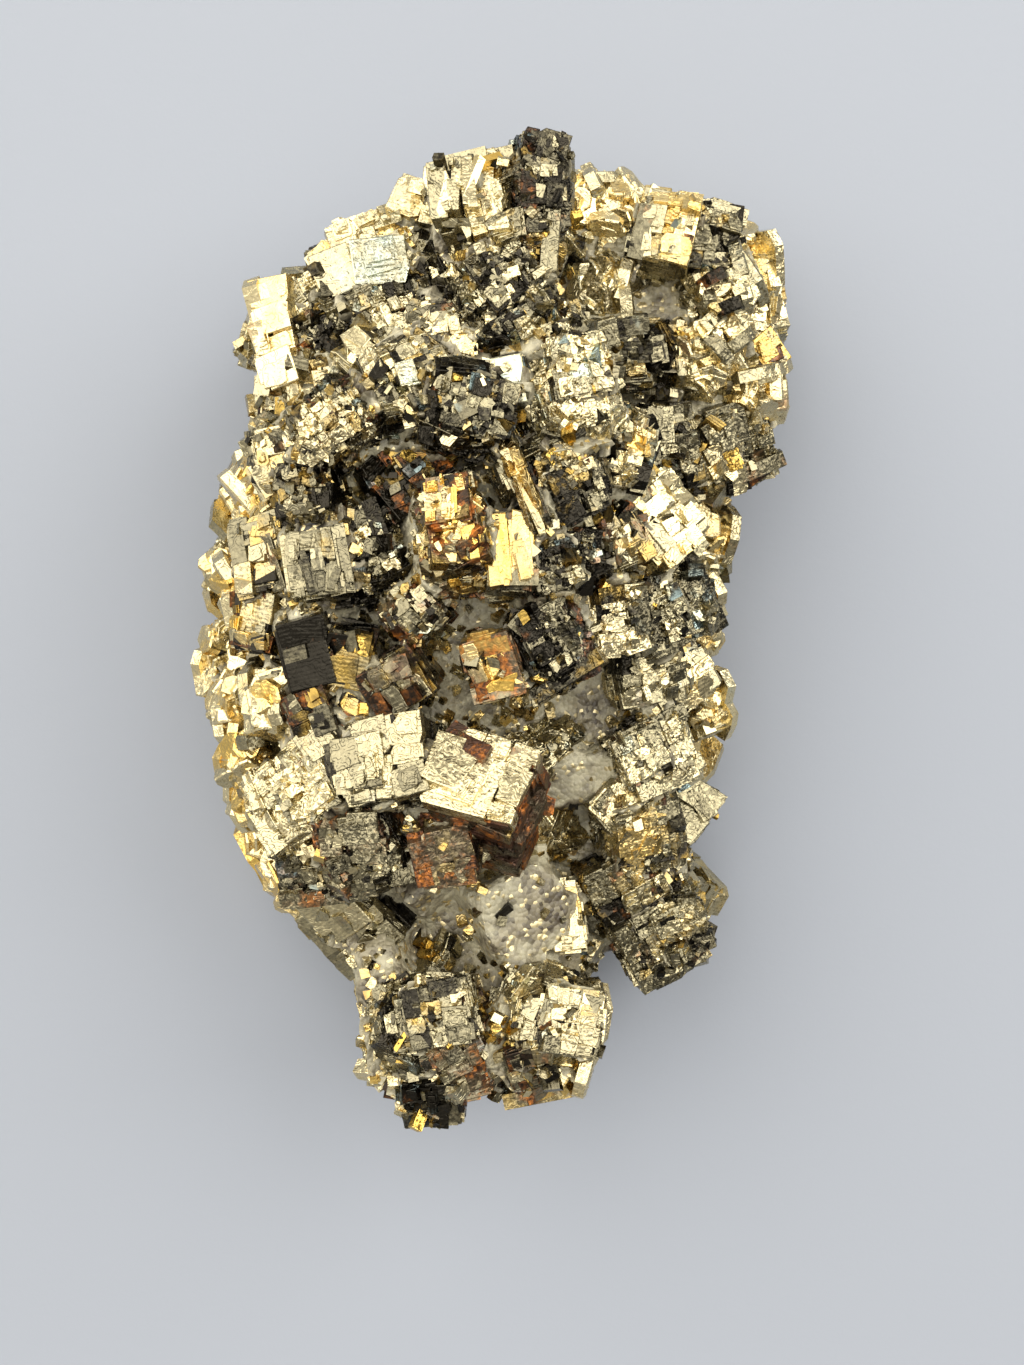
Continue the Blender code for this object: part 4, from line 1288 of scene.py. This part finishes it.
def druse_tree():
    """Scatters small crystals over the parts of a surface that its weight marks."""
    tree = bpy.data.node_groups.new("druse_scatter", "GeometryNodeTree")
    face = tree.interface
    face.new_socket("Geometry", in_out="INPUT", socket_type="NodeSocketGeometry")
    face.new_socket("Block Shapes", in_out="INPUT", socket_type="NodeSocketCollection")
    face.new_socket("Crystals per m2", in_out="INPUT", socket_type="NodeSocketFloat")
    face.new_socket("Smallest", in_out="INPUT", socket_type="NodeSocketFloat")
    face.new_socket("Largest", in_out="INPUT", socket_type="NodeSocketFloat")
    face.new_socket("Seed", in_out="INPUT", socket_type="NodeSocketInt")
    face.new_socket("Finish", in_out="INPUT", socket_type="NodeSocketMaterial")
    face.new_socket("Geometry", in_out="OUTPUT", socket_type="NodeSocketGeometry")
    given = add_node(tree, "NodeGroupInput").outputs
    shapes = add_node(
        tree,
        "GeometryNodeCollectionInfo",
        {"Collection": given["Block Shapes"], "Separate Children": True, "Reset Children": True},
    ).outputs[0]
    growth = stored(tree, "growth", "FLOAT")
    density = maths(tree, "MULTIPLY", growth, given["Crystals per m2"])
    points = add_node(
        tree,
        "GeometryNodeDistributePointsOnFaces",
        {"Mesh": given["Geometry"], "Density": density, "Seed": given["Seed"]},
        distribute_method="RANDOM",
    ).outputs["Points"]
    turn = add_node(
        tree,
        "FunctionNodeRandomValue",
        {"Min": (0.0, 0.0, 0.0), "Max": (6.2832, 6.2832, 6.2832), "Seed": given["Seed"]},
        data_type="FLOAT_VECTOR",
    ).outputs[0]
    width = add_node(
        tree,
        "FunctionNodeRandomValue",
        {2: given["Smallest"], 3: given["Largest"], "Seed": 3},
        data_type="FLOAT",
    ).outputs[1]
    shape = add_node(
        tree,
        "FunctionNodeRandomValue",
        {4: PLATE_SHAPES, 5: PLATE_SHAPES + CELL_SHAPES - 1, "Seed": 4},
        data_type="INT",
    ).outputs[2]
    marked = points
    for number, (name, low, high) in enumerate(
        (("tone", -0.5, 0.5), ("rust", -0.5, 0.35), ("tint", -0.9, 0.4), ("grit", 0.0, 0.8))
    ):
        value = add_node(
            tree, "FunctionNodeRandomValue", {2: low, 3: high, "Seed": 10 + number}, data_type="FLOAT"
        ).outputs[1]
        marked = add_node(
            tree,
            "GeometryNodeStoreNamedAttribute",
            {"Geometry": marked, "Name": name, "Value": value},
            data_type="FLOAT",
            domain="POINT",
        ).outputs[0]
    blocks = add_node(
        tree,
        "GeometryNodeInstanceOnPoints",
        {
            "Points": marked,
            "Instance": shapes,
            "Pick Instance": True,
            "Instance Index": shape,
            "Rotation": turn,
            "Scale": width,
        },
    ).outputs[0]
    solid = add_node(tree, "GeometryNodeRealizeInstances", {"Geometry": blocks}).outputs[0]
    at = add_node(tree, "GeometryNodeInputPosition").outputs[0]
    placed = add_node(
        tree,
        "GeometryNodeStoreNamedAttribute",
        {"Geometry": solid, "Name": "crystal_place", "Value": at},
        data_type="FLOAT_VECTOR",
        domain="POINT",
    ).outputs[0]
    finished = add_node(
        tree, "GeometryNodeSetMaterial", {"Geometry": placed, "Material": given["Finish"]}
    ).outputs[0]
    add_node(tree, "NodeGroupOutput", {0: finished})
    return tree


def baked(obj, tree, values):
    """Runs a node tree on an object and returns the result as a plain mesh, without the tree."""
    modifier = obj.modifiers.new(tree.name, "NODES")
    modifier.node_group = tree
    for item in tree.interface.items_tree:
        if item.in_out == "INPUT" and item.name in values:
            modifier[item.identifier] = values[item.name]
    graph = bpy.context.evaluated_depsgraph_get()
    made = obj.evaluated_get(graph)
    mesh = bpy.data.meshes.new_from_object(made, preserve_all_data_layers=True, depsgraph=graph)
    obj.modifiers.clear()
    return mesh


def keep_in_box(mesh):
    """Flattens what reaches under the resting face, and what stands out of the solid's box by too much."""
    points = np.zeros(len(mesh.vertices) * 3, np.float32)
    mesh.vertices.foreach_get("co", points)
    points = points.reshape(-1, 3)
    low, high = np.array(CAD_BOX[0]) - POINT_ALLOWANCE, np.array(CAD_BOX[1]) + POINT_ALLOWANCE
    low[2] = 0.00002
    points = np.clip(points, low, high)
    mesh.vertices.foreach_set("co", points.astype(np.float32).ravel())
    mesh.update()


def drop_attributes(mesh, names):
    """Deletes what a tree stored only for its own use."""
    for name in names:
        layer = mesh.attributes.get(name)
        if layer:
            mesh.attributes.remove(layer)


def as_piece(name, mesh):
    """Links a finished mesh as a piece of the specimen."""
    mesh.name = name
    obj = new_object(name, mesh)
    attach(obj, "root")
    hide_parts(CLUSTER)
    return obj


def points_mesh(name, blocks):
    """A mesh of loose points that stores each block's turn, size, shape and finish."""
    mesh = bpy.data.meshes.new(name)
    mesh.from_pydata([tuple(block[0] * MM) for block in blocks], [], [])
    turns = [Matrix(block[2].tolist()).to_quaternion() for block in blocks]
    layers = {
        "turn": ("QUATERNION", "value", np.array([tuple(turn) for turn in turns])),
        "size": ("FLOAT_VECTOR", "vector", np.array([block[3] for block in blocks]) * MM),
        "shape": ("INT", "value", np.array([block[6] for block in blocks])),
        "stands_at": ("FLOAT_VECTOR", "vector", np.array([block[4] for block in blocks]) * MM),
    }
    for column, finish in enumerate(("tone", "rust", "tint", "grit")):
        layers[finish] = ("FLOAT", "value", np.array([block[5][column] for block in blocks]))
    for layer, (kind, field, values) in layers.items():
        made = mesh.attributes.new(layer, kind, "POINT")
        made.data.foreach_set(field, values.ravel().astype(np.int32 if kind == "INT" else np.float32))
    return mesh


class SpecimenSizes(bpy.types.PropertyGroup):
    """Sizes of the specimen's surface."""

    cell: FloatProperty(name="Block", description="Width of a small block", default=0.75 * MM, unit="LENGTH")
    step: FloatProperty(name="Step", description="Height of a growth step", default=0.28 * MM, unit="LENGTH")
    depth: FloatProperty(name="Depth", description="How deep a block reaches", default=1.2 * MM, unit="LENGTH")
    relief: FloatProperty(name="Relief", description="How unevenly plates stand out", default=1.0, min=0.0)
    plate_tip: FloatProperty(name="Plate tip", description="How far plates are tipped", default=0.05, min=0.0)
    cell_tip: FloatProperty(name="Block tip", description="How far blocks are tipped", default=0.07, min=0.0)
    facet: FloatProperty(name="Facet", description="Width of tiny faces", default=0.3 * MM, unit="LENGTH")
    groove: FloatProperty(name="Groove", description="Spacing of grooves", default=0.3 * MM, unit="LENGTH")
    grain: FloatProperty(name="Grain", description="Width of a matrix grain", default=0.35 * MM, unit="LENGTH")
    voxel: FloatProperty(name="Cell", description="Cell of the matrix surface", default=0.6 * MM, unit="LENGTH")
    # How strongly painted shade darkens the hollows, with the rust and golden tint added there
    hollow_shade_and_rust: FloatProperty(name="Hollow_shade_and_rust", description="How much darker hollows are", default=0.85, min=0.0)
    chips: IntProperty(name="Overgrowths", description="Small crystals tried out", default=5000, min=0)
    druse: FloatProperty(name="Druse", description="Tiny crystals per square metre", default=0.9e6, min=0.0)


class SpecimenColours(bpy.types.PropertyGroup):
    """Colours of the specimen and what it lies on, as sRGB hex values."""

    brass: StringProperty(name="Brass", description="Clean bright growth face", default="#d2c398")
    olive: StringProperty(name="Olive", description="Dull growth face", default="#9a9173")
    rust: StringProperty(name="Rust", description="Red-brown stain", default="#432a1c")
    rust_thin: StringProperty(name="Thin rust", description="Orange stain", default="#c0752f")
    # Gold and film: partly oxide film and partly painted reflection
    gold: StringProperty(name="Gold", description="Golden oxide film", default="#d6b055")
    film: StringProperty(name="Film", description="Pale blue-green oxide film", default="#a9c0bd")
    matrix: StringProperty(name="Matrix", description="Grey-brown matrix", default="#8f866d")
    seam: StringProperty(name="Seam", description="Cream seams in the matrix", default="#d6cfae")
    matrix_dark: StringProperty(name="Dark matrix", description="Dark matrix", default="#42392b")
    # The darkest tone: partly dull growth face and partly painted shade and painted dark reflection
    shadow: StringProperty(name="Shadow", description="Dullest growth face", default="#2b2822")
    # Painted shade for the matrix under the crystals
    under: StringProperty(name="Under", description="Dull sulfide under the crystals", default="#262117")
    floor: StringProperty(name="Floor", description="Backdrop paper", default="#8a8e95")


class SpecimenStage(bpy.types.PropertyGroup):
    """The camera and the lights."""

    camera_height: FloatProperty(
        name="Camera height", description="Above the floor", default=0.146, unit="LENGTH"
    )
    lens: FloatProperty(name="Lens", description="Focal length in mm", default=45.0)
    key: FloatProperty(name="Key", description="Power of the main light in W", default=5.7)
    side: FloatProperty(name="Side", description="Power of the light from the right in W", default=3.6)
    top: FloatProperty(name="Top", description="Power of the overhead light in W", default=1.6)
    world: FloatProperty(name="World", description="Strength of the even light", default=0.43)


class PYRITE_OT_matrix(bpy.types.Operator):
    """Make the matrix that the crystals grow on"""

    bl_idname = "pyrite.matrix"
    bl_label = "Matrix"

    def execute(self, context):
        scene = context.scene
        sizes = scene.specimen_sizes
        material = matrix_material(scene.specimen_colours, sizes)
        bm = bmesh.new()
        bm.from_mesh(frame["nodes"][CLUSTER].data)
        bmesh.ops.remove_doubles(bm, verts=bm.verts, dist=1e-7)
        source = bpy.data.meshes.new("matrix_source")
        bm.to_mesh(source)
        bm.free()
        body = new_object("matrix_source", source)
        remesh = body.modifiers.new("Even cells", "REMESH")
        remesh.mode = "VOXEL"
        remesh.voxel_size = sizes.voxel
        graph = context.evaluated_depsgraph_get()
        mesh = bpy.data.meshes.new_from_object(body.evaluated_get(graph))
        bpy.data.objects.remove(body)
        bpy.data.meshes.remove(source)

        count = len(mesh.vertices)
        points = np.zeros(count * 3)
        normals = np.zeros(count * 3)
        mesh.vertices.foreach_get("co", points)
        mesh.vertices.foreach_get("normal", normals)
        points, normals = points.reshape(-1, 3) / MM, normals.reshape(-1, 3)
        # Under a crystal the surface is drawn in to lie below its blocks; elsewhere it is lumpy
        moved, covered = drawn_in(points, all_crystals(), MATRIX_SHARE)
        base = points[:, 2] < 0.4
        for row in np.flatnonzero(~covered & ~base):
            at = Vector(points[row])
            moved[row] += normals[row] * (0.3 * noise.noise(at / 2.0) + 0.06 * noise.noise(at / 0.6))
        moved[base] = points[base]
        # Under the crystals stone is 0, which gives the matrix its dark painted-shade colour
        stone = np.where(covered & ~base, 0.0, 1.0)
        points = moved * MM
        mesh.vertices.foreach_set("co", points.astype(np.float32).ravel())
        layer = mesh.attributes.new("stone", "FLOAT", "POINT")
        layer.data.foreach_set("value", stone.astype(np.float32))
        growth = mesh.attributes.new("growth", "FLOAT", "POINT")
        bare = np.array([near(point, BARE_MATRIX) for point in moved])
        share = np.where(points[:, 2] < 1.5 * MM, 0.0, stone) * np.where(bare, 0.12, 1.0)
        growth.data.foreach_set("value", share.astype(np.float32))
        keep_in_box(mesh)
        mesh.materials.clear()
        mesh.materials.append(material)
        as_piece("matrix", mesh)
        return {"FINISHED"}


class PYRITE_OT_crystals(bpy.types.Operator):
    """Make the mosaic of growth blocks on every crystal"""

    bl_idname = "pyrite.crystals"
    bl_label = "Crystals"

    def execute(self, context):
        scene = context.scene
        sizes = scene.specimen_sizes
        material = pyrite_material(scene.specimen_colours, sizes)
        shapes = block_shapes()
        tree = mosaic_tree()
        rng = np.random.default_rng(11)
        crystals = all_crystals()
        chips = overgrowth(frame["nodes"][CLUSTER].data, sizes.chips, crystals, rng)
        for name, groups in PIECES.items():
            own = [crystal for crystal in crystals if crystal.group in groups]
            blocks = visible_blocks(own, crystals, sizes, rng)
            blocks += [block for group, block in chips if group in groups]
            # Painted shade, with some rust and golden tint, in the hollows
            blocks = painted_shade_in_hollows(blocks, crystals, sizes)
            source = new_object(f"{name}_points", points_mesh(f"{name}_points", blocks))
            values = {"Block Shapes": shapes, "Block Scale": 1.0, "Finish": material}
            mesh = baked(source, tree, values)
            bpy.data.objects.remove(source)
            drop_attributes(mesh, ("turn", "size", "shape", "stands_at", "block_middle"))
            keep_in_box(mesh)
            as_piece(name, mesh)
        remove_shapes(shapes)
        return {"FINISHED"}


class PYRITE_OT_druse(bpy.types.Operator):
    """Scatter the smallest crystals over the matrix"""

    bl_idname = "pyrite.druse"
    bl_label = "Druse"

    def execute(self, context):
        scene = context.scene
        matrix = scene.objects.get("matrix")
        if matrix is None:
            raise RuntimeError("the matrix has to be made before the druse")
        shapes = block_shapes()
        values = {
            "Block Shapes": shapes,
            "Crystals per m2": scene.specimen_sizes.druse,
            "Smallest": 0.12 * MM,
            "Largest": 0.42 * MM,
            "Seed": 7,
            "Finish": bpy.data.materials["pyrite_natural_growth_faces"],
        }
        source = new_object("druse_source", matrix.data.copy())
        mesh = baked(source, druse_tree(), values)
        bpy.data.objects.remove(source)
        keep_in_box(mesh)
        as_piece("druse", mesh)
        remove_shapes(shapes)
        return {"FINISHED"}


class PYRITE_OT_stage(bpy.types.Operator):
    """Make the floor, the lights and the camera"""

    bl_idname = "pyrite.stage"
    bl_label = "Stage"

    def execute(self, context):
        scene = context.scene
        stage = scene.specimen_stage
        bm = bmesh.new()
        bmesh.ops.create_circle(bm, cap_ends=True, segments=96, radius=1.2)
        mesh = bpy.data.meshes.new("floor")
        bm.to_mesh(mesh)
        bm.free()
        floor = new_object("floor", mesh, floor_material(scene.specimen_colours))

        # A soft main light from the picture's upper left, a weaker one from the right and a wide one overhead
        for name, place, width, power, colour in (
            ("key_light", (-0.42, 0.30, 0.46), 0.85, stage.key, (1.0, 0.975, 0.93)),
            ("side_light", (0.42, 0.22, 0.42), 0.50, stage.side, (1.0, 0.98, 0.94)),
            ("top_light", (0.04, 0.0, 0.60), 0.50, stage.top, (1.0, 1.0, 1.0)),
        ):
            lamp = bpy.data.lights.new(name, "AREA")
            lamp.shape = "SQUARE"
            lamp.size = width
            lamp.energy = power
            lamp.color = colour
            light = bpy.data.objects.new(name, lamp)
            light.location = place
            light.rotation_mode = "QUATERNION"
            light.rotation_quaternion = (-Vector(place)).to_track_quat("-Z", "Y")
            scene.collection.objects.link(light)

        world = bpy.data.worlds.new("studio")
        world.use_nodes = True
        background = world.node_tree.nodes["Background"]
        background.inputs["Color"].default_value = (1.0, 0.97, 0.91, 1.0)
        # The room is brighter towards the main light, so that faces turned each way mirror a different grey
        tree = world.node_tree
        way = add_node(tree, "ShaderNodeTexCoord").outputs["Generated"]
        facing = add_node(
            tree, "ShaderNodeVectorMath", {0: way, 1: (-0.55, 0.40, 0.73)}, operation="DOT_PRODUCT"
        ).outputs["Value"]
        strength = ranged(tree, facing, -0.5, 1.0, stage.world * 0.35, stage.world * 3)
        tree.links.new(strength, background.inputs["Strength"])
        scene.world = world
        scene.view_settings.view_transform = "Standard"
        scene.view_settings.look = "None"

        lens = bpy.data.cameras.new("camera")
        lens.lens = stage.lens
        lens.sensor_width = 36.0
        lens.clip_start = 0.005
        camera = bpy.data.objects.new("camera", lens)
        camera.location = CAMERA_X, CAMERA_Y, stage.camera_height
        scene.collection.objects.link(camera)
        scene.camera = camera
        return {"FINISHED"}


class PYRITE_PT_panel(bpy.types.Panel):
    """The steps that build the specimen, in order"""

    bl_label = "Pyrite Specimen"
    bl_space_type = "VIEW_3D"
    bl_region_type = "UI"
    bl_category = "Specimen"

    def draw(self, context):
        for step in STEPS:
            self.layout.operator(step.bl_idname)
        for settings in GROUPS_OF_SETTINGS:
            group = getattr(context.scene, settings)
            for name in group.__annotations__:
                self.layout.prop(group, name)


STEPS = (PYRITE_OT_matrix, PYRITE_OT_crystals, PYRITE_OT_druse, PYRITE_OT_stage)
GROUPS_OF_SETTINGS = {
    "specimen_sizes": SpecimenSizes,
    "specimen_colours": SpecimenColours,
    "specimen_stage": SpecimenStage,
}


def register():
    """Registers the settings, the steps and the panel."""
    for kind in (*GROUPS_OF_SETTINGS.values(), *STEPS, PYRITE_PT_panel):
        bpy.utils.register_class(kind)
    for name, kind in GROUPS_OF_SETTINGS.items():
        setattr(bpy.types.Scene, name, PointerProperty(type=kind))


def unregister():
    """Takes them out again."""
    for name in GROUPS_OF_SETTINGS:
        delattr(bpy.types.Scene, name)
    for kind in (PYRITE_PT_panel, *reversed(STEPS), *reversed(GROUPS_OF_SETTINGS.values())):
        bpy.utils.unregister_class(kind)


def main():
    """Builds the specimen and its stage."""
    register()
    for step in STEPS:
        group, name = step.bl_idname.split(".")
        getattr(getattr(bpy.ops, group), name)()


if __name__ == "__main__":
    main()
